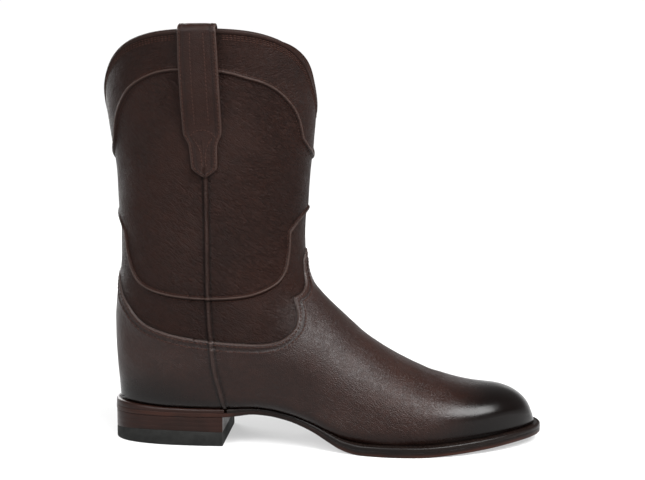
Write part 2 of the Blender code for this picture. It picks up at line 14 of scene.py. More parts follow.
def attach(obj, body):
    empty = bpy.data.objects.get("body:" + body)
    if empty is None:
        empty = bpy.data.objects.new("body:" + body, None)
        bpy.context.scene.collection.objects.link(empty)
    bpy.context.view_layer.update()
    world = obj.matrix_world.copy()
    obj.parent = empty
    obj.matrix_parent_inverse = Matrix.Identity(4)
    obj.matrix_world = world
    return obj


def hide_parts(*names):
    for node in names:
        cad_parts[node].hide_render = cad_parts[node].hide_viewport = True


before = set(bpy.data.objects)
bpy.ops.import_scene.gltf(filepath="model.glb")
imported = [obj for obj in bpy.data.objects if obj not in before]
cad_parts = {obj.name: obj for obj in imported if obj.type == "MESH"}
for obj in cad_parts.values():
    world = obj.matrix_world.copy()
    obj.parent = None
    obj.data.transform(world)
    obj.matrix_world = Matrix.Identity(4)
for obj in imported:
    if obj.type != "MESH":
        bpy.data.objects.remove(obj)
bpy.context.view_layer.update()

MM = 0.001
FRAME_X = 0.83         # moves the measured frame so its box is centred
FRAME_Y = -0.09
PIVOT = (60.0, 140.0)  # (x, z) of the cross line the sections turn about
WALL = 2.2
GAP = 0.3
BREAST = -71.0


# ---------------------------------------------------------------- curves
def slopes(xs, ys):
    """Tangents of a monotone cubic through the rows."""
    n = len(xs)
    h = [xs[i + 1] - xs[i] for i in range(n - 1)]
    d = [(ys[i + 1] - ys[i]) / h[i] for i in range(n - 1)]
    m = [0.0] * n
    m[0], m[-1] = d[0], d[-1]
    for i in range(1, n - 1):
        if d[i - 1] * d[i] > 0:
            w1 = 2 * h[i] + h[i - 1]
            w2 = h[i] + 2 * h[i - 1]
            m[i] = (w1 + w2) / (w1 / d[i - 1] + w2 / d[i])
    return m


class Curve:
    """Smooth curve through rows of (x, y); keeps the end values outside."""

    def __init__(self, rows):
        rows = sorted(rows)
        self.x = [r[0] for r in rows]
        self.y = [r[1] for r in rows]
        self.m = slopes(self.x, self.y)

    def __call__(self, v):
        x, y, m = self.x, self.y, self.m
        if v <= x[0]:
            return y[0]
        if v >= x[-1]:
            return y[-1]
        lo, hi = 0, len(x) - 1
        while hi - lo > 1:
            mid = (lo + hi) // 2
            if x[mid] <= v:
                lo = mid
            else:
                hi = mid
        h = x[hi] - x[lo]
        t = (v - x[lo]) / h
        t2, t3 = t * t, t * t * t
        return ((2 * t3 - 3 * t2 + 1) * y[lo] + (t3 - 2 * t2 + t) * h * m[lo]
                + (-2 * t3 + 3 * t2) * y[hi] + (t3 - t2) * h * m[hi])


def closed_spline(points, per=6):
    """Closed centripetal spline through the points."""
    out = []
    n = len(points)
    for i in range(n):
        p = [points[(i + k) % n] for k in (-1, 0, 1, 2)]
        t = [0.0]
        for a, b in zip(p, p[1:]):
            t.append(t[-1] + max(1e-6, math.dist(a, b)) ** 0.5)
        for k in range(per):
            u = t[1] + (t[2] - t[1]) * k / per
            q = []
            for c in (0, 1):
                a1 = ((t[1] - u) * p[0][c] + (u - t[0]) * p[1][c]) / (t[1] - t[0])
                a2 = ((t[2] - u) * p[1][c] + (u - t[1]) * p[2][c]) / (t[2] - t[1])
                a3 = ((t[3] - u) * p[2][c] + (u - t[2]) * p[3][c]) / (t[3] - t[2])
                b1 = ((t[2] - u) * a1 + (u - t[0]) * a2) / (t[2] - t[0])
                b2 = ((t[3] - u) * a2 + (u - t[1]) * a3) / (t[3] - t[1])
                q.append(((t[2] - u) * b1 + (u - t[1]) * b2) / (t[2] - t[1]))
            out.append(tuple(q))
    return out


# ---------------------------------------------------------------- sole plan
# Walking round the sole from the rear, lateral side first: (x, y).
PLAN = [(-154, 2), (-152.4, -7.6), (-147, -16.2), (-138, -22.8), (-121, -28.6), (-98, -31.6),
        (-71, -32.2), (-45, -31.6), (-22, -33.2), (-5, -38), (12, -45.8), (30, -52),
        (48, -55), (66, -54.6), (84, -51.2), (102, -44.8), (119, -35.8), (134, -24.6),
        (146, -12.6), (152.2, -2.2), (154, 7.4), (152.2, 17), (146, 27.4), (134, 38.4),
        (118, 47), (99, 52.8), (80, 55), (60, 54), (42, 50), (24, 43.6), (6, 36.6),
        (-14, 31.6), (-36, 30), (-55, 32), (-72, 35.3), (-98, 35.4), (-121, 32.6),
        (-138, 26.8), (-147, 20.2), (-152.4, 11.6)]

# How far the foot of the upper stands in from the sole edge: (x, inset).
FEATHER = Curve([(-154, 3.4), (-140, 3.6), (-110, 3.4), (-71, 2.8), (-45, 2.2), (-20, 2.6),
                 (5, 4.6), (25, 7.2), (60, 8.2), (95, 7.6), (125, 6.2), (146, 5.1), (154, 4.8)])

# Sole edge in side view: underside, and top of the whole edge.
UNDER = Curve([(-154, 20.4), (-110, 20.5), (-71, 20.8), (-62, 21.6), (-50, 23.0), (-40, 22.3),
               (-26, 19.4), (-8, 12.8), (4, 6.6), (13.5, 2.3), (20, 0.7), (27, 0), (68, 0),
               (81, 0.55), (96, 1.6), (117, 3.2), (131, 4.3), (145, 5.2), (154, 5.6)])
TOP = Curve([(-154, 28.8), (-146, 28.5), (-130, 27.6), (-110, 26.9), (-90, 26.7), (-70, 26.8),
             (-50, 27.6), (-38, 26.6), (-26, 24.1), (-8, 18.2), (4, 12.9), (13.5, 9.2), (22, 7.6),
             (30, 7.1), (68, 7.1), (81, 7.6), (96, 8.6), (117, 10.1), (131, 11.1), (145, 11.9),
             (154, 12.3)])
THICK = Curve([(-154, 3.4), (-90, 3.2), (-60, 2.7), (-30, 2.7), (5, 3.4), (30, 3.9), (154, 3.9)])
LIFT = Curve([(-154, 7.4), (-145, 9.0), (-130, 10.3), (-110, 10.7), (-71, 10.1)])

SOLE_R, SOLE_T = -152.9, 154.6
plan = closed_spline(PLAN, 4)
lo_x, hi_x = min(p[0] for p in plan), max(p[0] for p in plan)
plan = [(SOLE_R + (SOLE_T - SOLE_R) * (x - lo_x) / (hi_x - lo_x), y) for x, y in plan]
N_PLAN = len(plan)


def inset(points, amount):
    """Closed outline moved inwards by amount(x) along its own normal."""
    out = []
    n = len(points)
    for i, (x, y) in enumerate(points):
        ax, ay = points[i - 1]
        bx, by = points[(i + 1) % n]
        tx, ty = bx - ax, by - ay
        k = math.hypot(tx, ty)
        a = amount(x)
        out.append((x - ty / k * a, y + tx / k * a))
    return out


def sides(points):
    """Lateral and medial y of an outline as curves of x."""
    n = len(points)
    r = min(range(n), key=lambda i: points[i][0])
    f = max(range(n), key=lambda i: points[i][0])
    ring = [points[(r + i) % n] for i in range(n)]
    k = (f - r) % n
    lat, med = ring[:k + 1], ring[k:] + [ring[0]]

    def clean(run):
        keep = [run[0]]
        for p in run[1:]:
            if p[0] > keep[-1][0] + 1e-4:
                keep.append(p)
        return keep
    lat = clean(lat)
    med = clean(list(reversed(med)))
    return Poly(lat), Poly(med), points[r][0], points[f][0]


class Poly:
    """Straight-line lookup, fine where the points are close together."""

    def __init__(self, pts):
        self.x = [p[0] for p in pts]
        self.y = [p[1] for p in pts]

    def __call__(self, v):
        x, y = self.x, self.y
        if v <= x[0]:
            return y[0]
        if v >= x[-1]:
            return y[-1]
        lo, hi = 0, len(x) - 1
        while hi - lo > 1:
            mid = (lo + hi) // 2
            if x[mid] <= v:
                lo = mid
            else:
                hi = mid
        t = (v - x[lo]) / (x[hi] - x[lo])
        return y[lo] + (y[hi] - y[lo]) * t


fine = closed_spline(PLAN, 24)
fine = [(SOLE_R + (SOLE_T - SOLE_R) * (x - lo_x) / (hi_x - lo_x), y) for x, y in fine]
foot_lat, foot_med, FOOT_R, FOOT_T = sides(inset(fine, FEATHER))


def foot_z(x):
    return TOP(x) + 0.45


# ---------------------------------------------------------------- outlines of the upper
# Rear line of the upper, (z, x), and its front line, (z, x) up the shaft.
REAR = [(30, -149.3), (40, -149.9), (51.5, -150.9), (63, -151.6), (75, -152.0), (87, -152.0),
        (99, -151.2), (110, -150.0), (122, -148.9), (136, -148.0), (151, -148.0), (163, -148.6),
        (175, -149.2), (190, -149.8), (204, -151.2), (216, -153.0), (231, -155.2), (243, -156.7),
        (254, -157.5), (270, -157.4), (292, -157.6)]
FRONT = [(83, 20.2), (88.7, 14.1), (94.4, 8.1), (100, 2.4), (106, -3.2), (112, -8.0),
         (118, -11.0), (124, -12.6), (135, -13.6), (148, -14.0), (158, -13.7), (169, -12.6),
         (180, -12.0), (193, -11.0), (205, -9.7), (216, -8.9), (228, -7.8), (240, -7.2),
         (254, -7.4), (270, -6.0), (292, -5.0)]
# Ridge of the vamp from the tip of the toe, (x, z).
RIDGE = [(149.2, 15.9), (147.9, 20.0), (145.5, 25.4), (141.5, 30.3), (135.7, 34.4),
         (130.0, 36.8), (124.3, 38.3), (119, 39.0), (113.3, 39.4), (107.5, 39.9), (96.7, 41.9),
         (78.9, 47.4), (65.3, 53.2), (53.4, 59.2), (43.6, 65.0), (34.8, 70.9), (26.9, 76.8)]

tip_x = FOOT_T
tip_y = 0.5 * (foot_lat(tip_x - 0.3) + foot_med(tip_x - 0.3))
tip_z = foot_z(tip_x)

ridge_pts = [(tip_x, tip_z)] + RIDGE + [(x, z) for z, x in FRONT]
arc = [0.0]
for a, b in zip(ridge_pts, ridge_pts[1:]):
    arc.append(arc[-1] + math.dist(a, b))
ridge_x = Curve([(s, p[0]) for s, p in zip(arc, ridge_pts)])
ridge_z = Curve([(s, p[1]) for s, p in zip(arc, ridge_pts)])
rear_x = Curve(REAR)
front_x = Curve(FRONT)

# Lower and rear boundary as seen from the pivot: angle -> (x, z).
ring = []
for i in range(241):
    x = PIVOT[0] + (FOOT_R - PIVOT[0]) * i / 240
    ring.append((x, foot_z(x)))
for i in range(1, 121):
    z = foot_z(FOOT_R) + (PIVOT[1] - foot_z(FOOT_R)) * i / 120
    ring.append((rear_x(z), z))
ring_angle = [math.degrees(math.atan2(PIVOT[1] - z, PIVOT[0] - x)) for x, z in ring]
low_x = Poly(sorted(zip(ring_angle, [p[0] for p in ring])))
low_z = Poly(sorted(zip(ring_angle, [p[1] for p in ring])))
TURN = ring_angle[240]      # angle of the rear end of the foot line

# ---------------------------------------------------------------- sections
# key: over 90 upright sections, 90 + (x - 60); 90..0 angle about the pivot;
# under 0 level sections, -(z - 140).
# lat, med: widest y; latE, medE: y the side runs towards at the low end;
# ridge: y of the ridge; rear: y of the rear seam; wide: where along the
# section it is widest; p, q: fullness before and after that point.
SECTIONS = [
    # key    lat    med    latE   medE  ridge rear wide   p     q
    (179.0, -47.9, 47.2, -47.5, 46.6, 5.8, 1.8, 0.60, 2.15, 2.8),
    (150.0, -47.9, 47.2, -47.5, 46.6, 5.4, 1.8, 0.66, 2.35, 3.3),
    (120.0, -47.9, 47.2, -47.5, 46.6, 4.6, 1.8, 0.70, 2.25, 3.5),
    (90.0, -47.9, 47.2, -47.5, 46.6, 3.6, 1.8, 0.72, 2.12, 3.5),
    (75.0, -45.6, 44.8, -44.8, 43.6, 3.0, 1.8, 0.68, 2.02, 3.4),
    (65.0, -43.6, 43.2, -42.0, 40.4, 2.4, 1.8, 0.60, 1.97, 3.2),
    (55.0, -43.2, 43.4, -38.6, 37.6, 1.8, 1.8, 0.52, 1.95, 3.2),
    (45.0, -44.2, 44.6, -35.6, 36.6, 1.4, 1.8, 0.46, 1.95, 3.2),
    (37.0, -44.8, 45.2, -34.0, 37.2, 1.0, 1.8, 0.42, 1.95, 3.3),
    (31.0, -45.1, 45.6, -33.2, 36.4, 0.8, 1.6, 0.40, 1.95, 3.4),
    (27.2, -45.2, 45.8, -32.8, 36.0, 0.7, 1.8, 0.40, 1.95, 3.4),
    (22.0, -45.2, 46.2, -33.6, 36.2, 0.6, 1.8, 0.41, 1.95, 3.15),
    (14.0, -45.2, 46.8, -37.4, 38.8, 0.7, 1.4, 0.44, 1.95, 2.7),
    (7.0, -45.1, 47.4, -40.8, 42.2, 1.0, 1.2, 0.47, 1.96, 2.45),
    (0.0, -45.0, 48.2, -42.6, 44.8, 1.4, 1.4, 0.49, 1.98, 2.3),
    (-25.0, -45.0, 49.6, -43.0, 46.6, 2.2, 2.2, 0.50, 2.0, 2.15),
    (-60.0, -45.6, 52.0, -43.6, 49.4, 3.0, 3.0, 0.50, 2.0, 2.08),
    (-100.0, -47.6, 53.6, -45.8, 51.4, 3.0, 3.0, 0.50, 2.0, 2.0),
    (-122.0, -49.4, 54.8, -47.6, 52.8, 2.6, 2.6, 0.50, 2.0, 2.0),
    (-152.0, -52.8, 57.2, -51.0, 55.2, 2.2, 2.2, 0.50, 2.0, 2.0),
]
# How far forward the rounding of the rear reaches, and how full it is.
REACH = Curve([(-152, 76), (-100, 75), (-60, 71), (0, 67), (14, 62), (22, 59), (27.2, 58),
               (179, 58)])
ROUND = Curve([(-152, 2.0), (-60, 2.05), (0, 2.1), (27.2, 2.15), (179, 2.15)])
# How far along a turning section it is widest, in millimetres.
WIDEST = Curve([(0, 65.7), (7, 65.2), (14, 64.4), (22, 63.2), (28, 61.2), (31, 58.8), (37, 50.5),
                (45, 42.5), (55, 38.6), (65, 37.8), (75, 37.2), (90, 34.8)])
# Length over which the side eases in behind the widest point.
EASE = Curve([(-152, 76), (-100, 75), (-60, 70.5), (0, 68.3), (7, 74), (14, 82), (22, 90),
              (26, 93), (28.5, 92), (31, 87), (34, 78.5), (37, 69), (45, 49), (55, 35),
              (65, 26.7), (75, 19.8), (90, 13)])
TUCK = 8.0                  # height over which the side rolls in to the sole
COLS = ("lat", "med", "latE", "medE", "ridge", "rear", "wide", "p", "q")
TABLE = {c: Curve([(r[0], r[k + 1]) for r in SECTIONS]) for k, c in enumerate(COLS)}


def section_at(key, s=None):
    """Everything one section needs; s is the ridge length for a foot section."""
    g = {c: TABLE[c](key) for c in COLS}
    if key < 0:
        z = 140 - key
        g["top"] = (front_x(z), z)
        g["low"] = (rear_x(z), z)
        g["closed"] = True
    else:
        g["top"] = (ridge_x(s), ridge_z(s))
        if key > 90:
            x = g["top"][0]
            g["low"] = (x, foot_z(x))
            g["closed"] = False
        else:
            g["low"] = (low_x(key), low_z(key))
            g["closed"] = key <= TURN
    g["seam"] = g["rear"]
    if g["closed"]:
        g["lat0"] = g["med0"] = g["rear"]
    else:
        x = g["low"][0]
        g["lat0"], g["med0"] = foot_lat(x), foot_med(x)
    if key > 90:
        half = 0.5 * (g["med0"] - g["lat0"])
        swell = 1.25 * (1 - math.exp(-half / 9.0))
        mid = 0.5 * (g["med0"] + g["lat0"])
        g["lat"] = g["lat0"] - swell
        g["med"] = g["med0"] + swell
        g["latE"] = g["lat"] + 0.3 * swell
        g["medE"] = g["med"] - 0.3 * swell
        w = min(1.0, half / 30.0)
        g["ridge"] = mid + (g["ridge"] - mid) * w
    (tx, tz), (bx, bz) = g["top"], g["low"]
    if 0 <= key <= 90:
        g["wide"] = WIDEST(key) / math.dist(g["top"], g["low"])
    wide = g["wide"]
    g["tuck"] = min(TUCK, 0.9 * (1 - wide) * (tz - bz)) if key >= 0 else 0.0
    room = tx + (bx - tx) * wide - rear_x(tz + (bz - tz) * wide)
    g["reach"] = min(REACH(key), 0.98 * room)
    g["round"] = ROUND(key)
    span = (1 - wide) * math.dist(g["top"], g["low"])
    g["ease"] = span / EASE(key) if key <= 90 else 1.0
    return g


def key_of(s):
    x, z = ridge_x(s), ridge_z(s)
    if x >= PIVOT[0]:
        return 90 + (x - PIVOT[0])
    if z < PIVOT[1]:
        return math.degrees(math.atan2(PIVOT[1] - z, PIVOT[0] - x))
    return -(z - PIVOT[1])


def on_section(g, side, t):
    """Point at t = 0 (ridge) .. 1 (widest) .. 2 (low end); side -1 lateral, 1 medial."""
    wide, p, q = g["wide"], g["p"], g["q"]
    edge = g["lat"] if side < 0 else g["med"]
    if t <= 1.0:
        a = t * math.pi / 2
        r = wide * (1 - max(0.0, math.cos(a)) ** (2 / p))
        y = g["ridge"] + (edge - g["ridge"]) * math.sin(a) ** (2 / p)
    else:
        v = math.sin((t - 1.0) * math.pi / 2) ** (2 / q)
        r = wide + (1 - wide) * v
        x = g["top"][0] + (g["low"][0] - g["top"][0]) * r
        z = g["top"][1] + (g["low"][1] - g["top"][1]) * r
        return (x, rear_part(g, side, v, x, z), z)
    x = g["top"][0] + (g["low"][0] - g["top"][0]) * r
    z = g["top"][1] + (g["low"][1] - g["top"][1]) * r
    return (x, y, z)


def rear_part(g, side, v, x, z):
    """y past the widest point: easing in, rounding the rear, rolling in at the sole."""
    edge = g["lat"] if side < 0 else g["med"]
    late = g["latE"] if side < 0 else g["medE"]
    v = min(1.0, v * g["ease"])
    y = edge + (late - edge) * v * v * (3 - 2 * v)
    d = (x - rear_x(z)) / g["reach"]
    if d < 1.0:
        m = g["round"]
        full = (1 - (1 - max(0.0, d)) ** m) ** (1 / m)
        y = g["seam"] + (y - g["seam"]) * full
    h = z - foot_z(x)
    if h < g["tuck"]:
        k = 1 - math.sqrt(max(0.0, 1 - (1 - max(0.0, h) / g["tuck"]) ** 2))
        foot = foot_lat(x) if side < 0 else foot_med(x)
        y += (foot - y) * k
    return y


# Height of the rim by how far out to the side it is, (share of half width, z).
RIM = Curve([(0, 236), (0.135, 245.5), (0.25, 255), (0.35, 262), (0.5, 271.5), (0.7, 281.2),
             (0.84, 286), (0.93, 288.3), (1.0, 289.5)])


def rim_z(side, t):
    g = section_at(-130.0)
    y = on_section(g, side, t)[1]
    half = abs((g["lat"] if side < 0 else g["med"]) - g["ridge"])
    return RIM(min(1.0, abs(y - g["ridge"]) / half))


def shaft_y(side, x, z):
    """y of the shaft's outer face at a point of the side view, for z over 140."""
    g = section_at(-(z - 140))
    r = (g["top"][0] - x) / (g["top"][0] - g["low"][0])
    r = min(max(r, 0.0), 1.0)
    edge = g["lat"] if side < 0 else g["med"]
    if r <= g["wide"]:
        k = (1 - (1 - r / g["wide"]) ** g["p"]) ** (1 / g["p"])
        return g["ridge"] + (edge - g["ridge"]) * k
    v = (r - g["wide"]) / (1 - g["wide"])
    return rear_part(g, side, v, x, z)


# ---------------------------------------------------------------- small tools
def to_m(x, y, z):
    """Measured millimetres to metres in the shared frame."""
    return ((x + FRAME_X) * MM, (y + FRAME_Y) * MM, z * MM)


def smooth(t):
    t = np.clip(t, 0.0, 1.0)
    return t * t * (3 - 2 * t)


def bump(d, half):
    """Round ridge of unit height with soft feet."""
    u = np.clip(np.abs(d) / half, 0.0, 1.0)
    return np.sqrt(np.maximum(0.0, 1 - u * u)) * (1 - 0.25 * u ** 4)


def catmull(points, step=0.6):
    """Open centripetal spline through 2-D or 3-D points."""
    pts = [np.array(p, float) for p in points]
    pts = [2 * pts[0] - pts[1]] + pts + [2 * pts[-1] - pts[-2]]
    out = []
    for i in range(1, len(pts) - 2):
        p = pts[i - 1:i + 3]
        t = [0.0]
        for a, b in zip(p, p[1:]):
            t.append(t[-1] + max(1e-6, float(np.linalg.norm(b - a))) ** 0.5)
        n = max(2, int(np.linalg.norm(p[2] - p[1]) / step))
        for k in range(n):
            u = t[1] + (t[2] - t[1]) * k / n
            a1 = ((t[1] - u) * p[0] + (u - t[0]) * p[1]) / (t[1] - t[0])
            a2 = ((t[2] - u) * p[1] + (u - t[1]) * p[2]) / (t[2] - t[1])
            a3 = ((t[3] - u) * p[2] + (u - t[2]) * p[3]) / (t[3] - t[2])
            b1 = ((t[2] - u) * a1 + (u - t[0]) * a2) / (t[2] - t[0])
            b2 = ((t[3] - u) * a2 + (u - t[1]) * a3) / (t[3] - t[1])
            out.append(((t[2] - u) * b1 + (u - t[1]) * b2) / (t[2] - t[1]))
    out.append(pts[-2])
    return out


def make(name, verts, faces, mat, flat_shade=False):
    """verts in measured millimetres."""
    v = np.asarray(verts, float)
    v = (v + np.array([FRAME_X, FRAME_Y, 0.0])) * MM
    me = bpy.data.meshes.new(name)
    me.from_pydata(v.tolist(), [], faces if isinstance(faces, list) else faces.tolist())
    me.update()
    me.materials.append(mat)
    if not flat_shade:
        me.polygons.foreach_set("use_smooth", [True] * len(me.polygons))
    ob = bpy.data.objects.new(name, me)
    bpy.context.scene.collection.objects.link(ob)
    return ob


def put(ob, key, values):
    at = ob.data.attributes.new(key, "FLOAT", "POINT")
    at.data.foreach_set("value", np.asarray(values, np.float32))


# ---------------------------------------------------------------- fine surface of the upper
def section_point(g, side, w):
    """Point at w = 0 (ridge) .. 1 (widest) .. 2 (low end), even past the widest."""
    wide, p = g["wide"], g["p"]
    edge = g["lat"] if side < 0 else g["med"]
    (tx, tz), (bx, bz) = g["top"], g["low"]
    if w <= 1.0:
        a = w * math.pi / 2
        r = wide * (1 - max(0.0, math.cos(a)) ** (2 / p))
        y = g["ridge"] + (edge - g["ridge"]) * math.sin(a) ** (2 / p)
        return (tx + (bx - tx) * r, y, tz + (bz - tz) * r)
    v = w - 1.0
    r = wide + (1 - wide) * v
    x, z = tx + (bx - tx) * r, tz + (bz - tz) * r
    return (x, rear_part(g, side, v, x, z), z)


NC = 100                       # columns from the ridge to the rear, each side
W_FINE = [k / 40 for k in range(41)] + [1 + 1 - (1 - k / 60) ** 2.0 for k in range(1, 61)]


def even_w(g, side):
    """w values that split the half section evenly by length."""
    pts = [section_point(g, side, w) for w in W_FINE]
    run = [0.0]
    for a, b in zip(pts, pts[1:]):
        run.append(run[-1] + math.dist(a, b))
    return np.interp(np.linspace(0, run[-1], NC + 1), run, W_FINE)


def full_row(g):
    out = []
    for side in (-1, 1):
        ws = even_w(g, side)
        out.append([section_point(g, side, float(w)) for w in ws])
    return list(reversed(out[0])) + out[1][1:]


ROW = 1.7
dense_s = np.linspace(0.35, arc[-1], 2600)
s_zero = None
row_s, grown, last = [], 0.0, None
for v in dense_s:
    k = key_of(v)
    if k <= 0:
        s_zero = v
        break
    top = (ridge_x(v), ridge_z(v))
    low = (low_x(k), low_z(k)) if k <= 90 else (top[0], foot_z(top[0]))
    if last is not None:
        grown += max(math.dist(top, last[0]), math.dist(low, last[1]))
    if not row_s or grown >= ROW * 0.97:
        row_s.append(v)
        grown = 0.0
    last = (top, low)

grid, closed_row = [], []
for v in row_s:
    g = section_at(key_of(v), v)
    grid.append(full_row(g))
    closed_row.append(g["closed"])
DRAPE = 172.0
z = 140.0
while z < DRAPE - 0.5:
    g = section_at(-(z - 140) - 1e-6)
    grid.append(full_row(g))
    closed_row.append(True)
    z += ROW
N_DRAPE = 72
g = section_at(-(DRAPE - 140))
w_drape = {sd: even_w(g, sd) for sd in (-1, 1)}


def rim_height(side, w):
    g0 = section_at(-130.0)
    y = section_point(g0, side, w)[1]
    half = abs((g0["lat"] if side < 0 else g0["med"]) - g0["ridge"])
    return RIM(min(1.0, abs(y - g0["ridge"]) / half))


drape_cols = [(-1, float(w)) for w in reversed(w_drape[-1])] + [(1, float(w)) for w in w_drape[1][1:]]
rims = [rim_height(sd, w) for sd, w in drape_cols]
for i in range(N_DRAPE + 1):
    f = i / N_DRAPE
    grid.append([section_point(section_at(-(DRAPE + (rz - DRAPE) * f - 140)), sd, w)
                 for (sd, w), rz in zip(drape_cols, rims)])
    closed_row.append(True)
G = np.array(grid)             # rows, columns, 3
closed_row = np.array(closed_row)
NR, NCOL = G.shape[:2]
CC = np.arange(NCOL) - NC      # column number, 0 on the ridge, under 0 lateral


def normals_of(P):
    dr = np.gradient(P, axis=0)
    dc = np.gradient(P, axis=1)
    w = closed_row
    wrap = P[:, 1] - P[:, -2]
    dc[w, 0] = wrap[w] * 0.5
    dc[w, -1] = wrap[w] * 0.5
    n = np.cross(dc, dr)
    n /= np.maximum(1e-9, np.linalg.norm(n, axis=2, keepdims=True))
    if n[NR - 10, 10, 1] > 0:
        n = -n
    return n


N0 = normals_of(G)


# ---------------------------------------------------------------- creases
def along(P, path):
    """Distance of every grid point to an open path."""
    pts = np.array(catmull(path, 2.0))
    best = np.full(P.shape[:-1], 1e9)
    where = np.zeros(P.shape[:-1])
    run = 0.0
    total = sum(float(np.linalg.norm(b - a)) for a, b in zip(pts, pts[1:]))
    for a, b in zip(pts, pts[1:]):
        d = b - a
        L = float(np.linalg.norm(d))
        t = np.clip(((P - a) @ d) / max(1e-9, L * L), 0, 1)
        q = P - (a + t[..., None] * d)
        dist = np.sqrt((q * q).sum(-1))
        closer = dist < best
        best = np.where(closer, dist, best)
        where = np.where(closer, (run + t * L) / total, where)
        run += L
    return best, where


def crease(P, path, width, depth):
    """Soft trough (depth over 0) or ridge (under 0) that fades at both ends."""
    d, u = along(P, path)
    fade = smooth(np.minimum(u, 1 - u) / 0.22)
    return -depth * np.exp(-(d / width) ** 2) * fade


CREASES = [
    # path of (x, y, z), width, depth in millimetres
    # instep folds between the shaft cord and the tongue
    ([(-25, -27, 146), (-22, -29, 130), (-21, -32, 114)], 2.6, 0.8),
    ([(-25, 29, 146), (-22, 31, 130), (-21, 34, 114)], 2.6, 0.8),
    ([(-17, -21, 128), (-18, -25, 116), (-15, -30, 102)], 2.4, 0.7),
    ([(-17, 25, 128), (-18, 28, 116), (-15, 33, 102)], 2.4, 0.7),
    ([(-12, -28, 104), (-8, -33, 92), (-9, -38, 82)], 3.4, -0.7),
    ([(-12, 32, 104), (-8, 36, 92), (-9, 41, 82)], 3.4, -0.7),
    # flex folds that run down from the front of the ankle
    ([(-6, -26, 99), (2, -33, 88), (4, -38, 74)], 4.0, 0.6),
    ([(8, -24, 90), (18, -33, 80), (26, -42, 64)], 6.5, -0.5),
    ([(-6, 29, 99), (2, 35, 88), (4, 41, 74)], 4.0, 0.6),
    ([(8, 27, 90), (18, 36, 80), (26, 44, 64)], 6.5, -0.5),
    # vamp break behind the toes
    ([(62, -8, 54), (66, -26, 50), (70, -40, 38)], 6.0, 0.55),
    ([(74, -6, 49), (80, -24, 45), (84, -38, 34)], 6.0, 0.45),
    ([(60, 12, 54), (62, 28, 50), (66, 42, 36)], 6.0, 0.55),
    ([(72, 10, 49), (76, 28, 44), (78, 42, 32)], 6.0, 0.45),
    # slack of the shaft: soft hollows beside the side seams and at the ankle
    ([(-70, -46, 200), (-69, -45, 160), (-69, -45, 112)], 7.0, 0.55),
    ([(-90, -46, 200), (-89, -45, 160), (-89, -45, 112)], 7.0, 0.55),
    ([(-70, 50, 200), (-69, 48, 160), (-69, 47, 112)], 7.0, 0.55),
    ([(-90, 50, 200), (-89, 48, 160), (-89, 47, 112)], 7.0, 0.55),
    ([(-128, -35, 132), (-104, -44, 126), (-84, -45, 128)], 7.5, 0.6),
    ([(-62, -45, 130), (-46, -42, 127), (-34, -36, 134)], 6.5, 0.5),
    ([(-132, -30, 176), (-112, -41, 170), (-90, -45, 172)], 9.0, 0.55),
    ([(-64, -46, 176), (-44, -41, 168), (-28, -30, 172)], 8.0, 0.5),
    ([(-62, -46, 214), (-46, -42, 206), (-32, -35, 208)], 8.0, -0.5),
    ([(-128, 36, 132), (-104, 46, 126), (-84, 48, 128)], 7.5, 0.6),
    ([(-62, 47, 130), (-46, 45, 127), (-34, 39, 134)], 6.5, 0.5),
    ([(-132, 32, 176), (-112, 44, 170), (-90, 49, 172)], 9.0, 0.55),
    ([(-64, 49, 176), (-44, 44, 168), (-28, 33, 172)], 8.0, 0.5),
    # heel: soft waves above and below the counter line
    ([(-146, -16, 92), (-132, -28, 76), (-110, -38, 66)], 6.0, 0.5),
    ([(-147, -12, 72), (-136, -24, 60), (-118, -34, 52)], 6.5, -0.4),
    ([(-146, 19, 92), (-132, 31, 76), (-110, 41, 66)], 6.0, 0.5),
    ([(-60, -43, 64), (-38, -43, 58), (-12, -42, 54)], 7.0, 0.5),
    ([(-60, 44, 64), (-38, 44, 58), (-12, 44, 54)], 7.0, 0.5),
]
lift = np.zeros(G.shape[:2])
for path, width, depth in CREASES:
    lift += crease(G, path, width, depth)
B = G + N0 * lift[..., None]
N1 = normals_of(B)

# ---------------------------------------------------------------- seams on the chart
flat_pts = G.reshape(-1, 3)
tree = KDTree(len(flat_pts))
for i, p in enumerate(flat_pts):
    tree.insert(p, i)
tree.balance()


def to_chart(p):
    """(row, column) of the surface point nearest to p."""
    _, i, _ = tree.find(p)
    r, c = divmod(i, NCOL)
    r, c = float(min(max(r, 1), NR - 2)), float(min(max(c, 1), NCOL - 2))
    p = np.array(p)
    for _ in range(4):
        r0, c0 = min(int(r), NR - 2), min(int(c), NCOL - 2)
        fr, fc = r - r0, c - c0
        A, E, D, H = G[r0, c0], G[r0, c0 + 1], G[r0 + 1, c0], G[r0 + 1, c0 + 1]
        q = p - (A * (1 - fc) + E * fc) * (1 - fr) - (D * (1 - fc) + H * fc) * fr
        dr = (D - A) * (1 - fc) + (H - E) * fc
        dc = (E - A) * (1 - fr) + (H - D) * fr
        M = np.array([[dr @ dr, dr @ dc], [dr @ dc, dc @ dc]])
        a, b = np.linalg.solve(M, np.array([dr @ q, dc @ q]))
        r = min(max(r + float(np.clip(a, -1.5, 1.5)), 0.0), NR - 1.001)
        c = min(max(c + float(np.clip(b, -1.5, 1.5)), 0.0), NCOL - 1.001)
    return r, c - NC


def on_chart(r, c, A=None):
    A = B if A is None else A
    r = np.clip(r, 0, NR - 1.001)
    c = np.clip(np.asarray(c) + NC, 0, NCOL - 1.001)
    r0, c0 = np.floor(r).astype(int), np.floor(c).astype(int)
    fr, fc = (r - r0)[..., None], (c - c0)[..., None]
    return ((A[r0, c0] * (1 - fc) + A[r0, c0 + 1] * fc) * (1 - fr)
            + (A[r0 + 1, c0] * (1 - fc) + A[r0 + 1, c0 + 1] * fc) * fr)


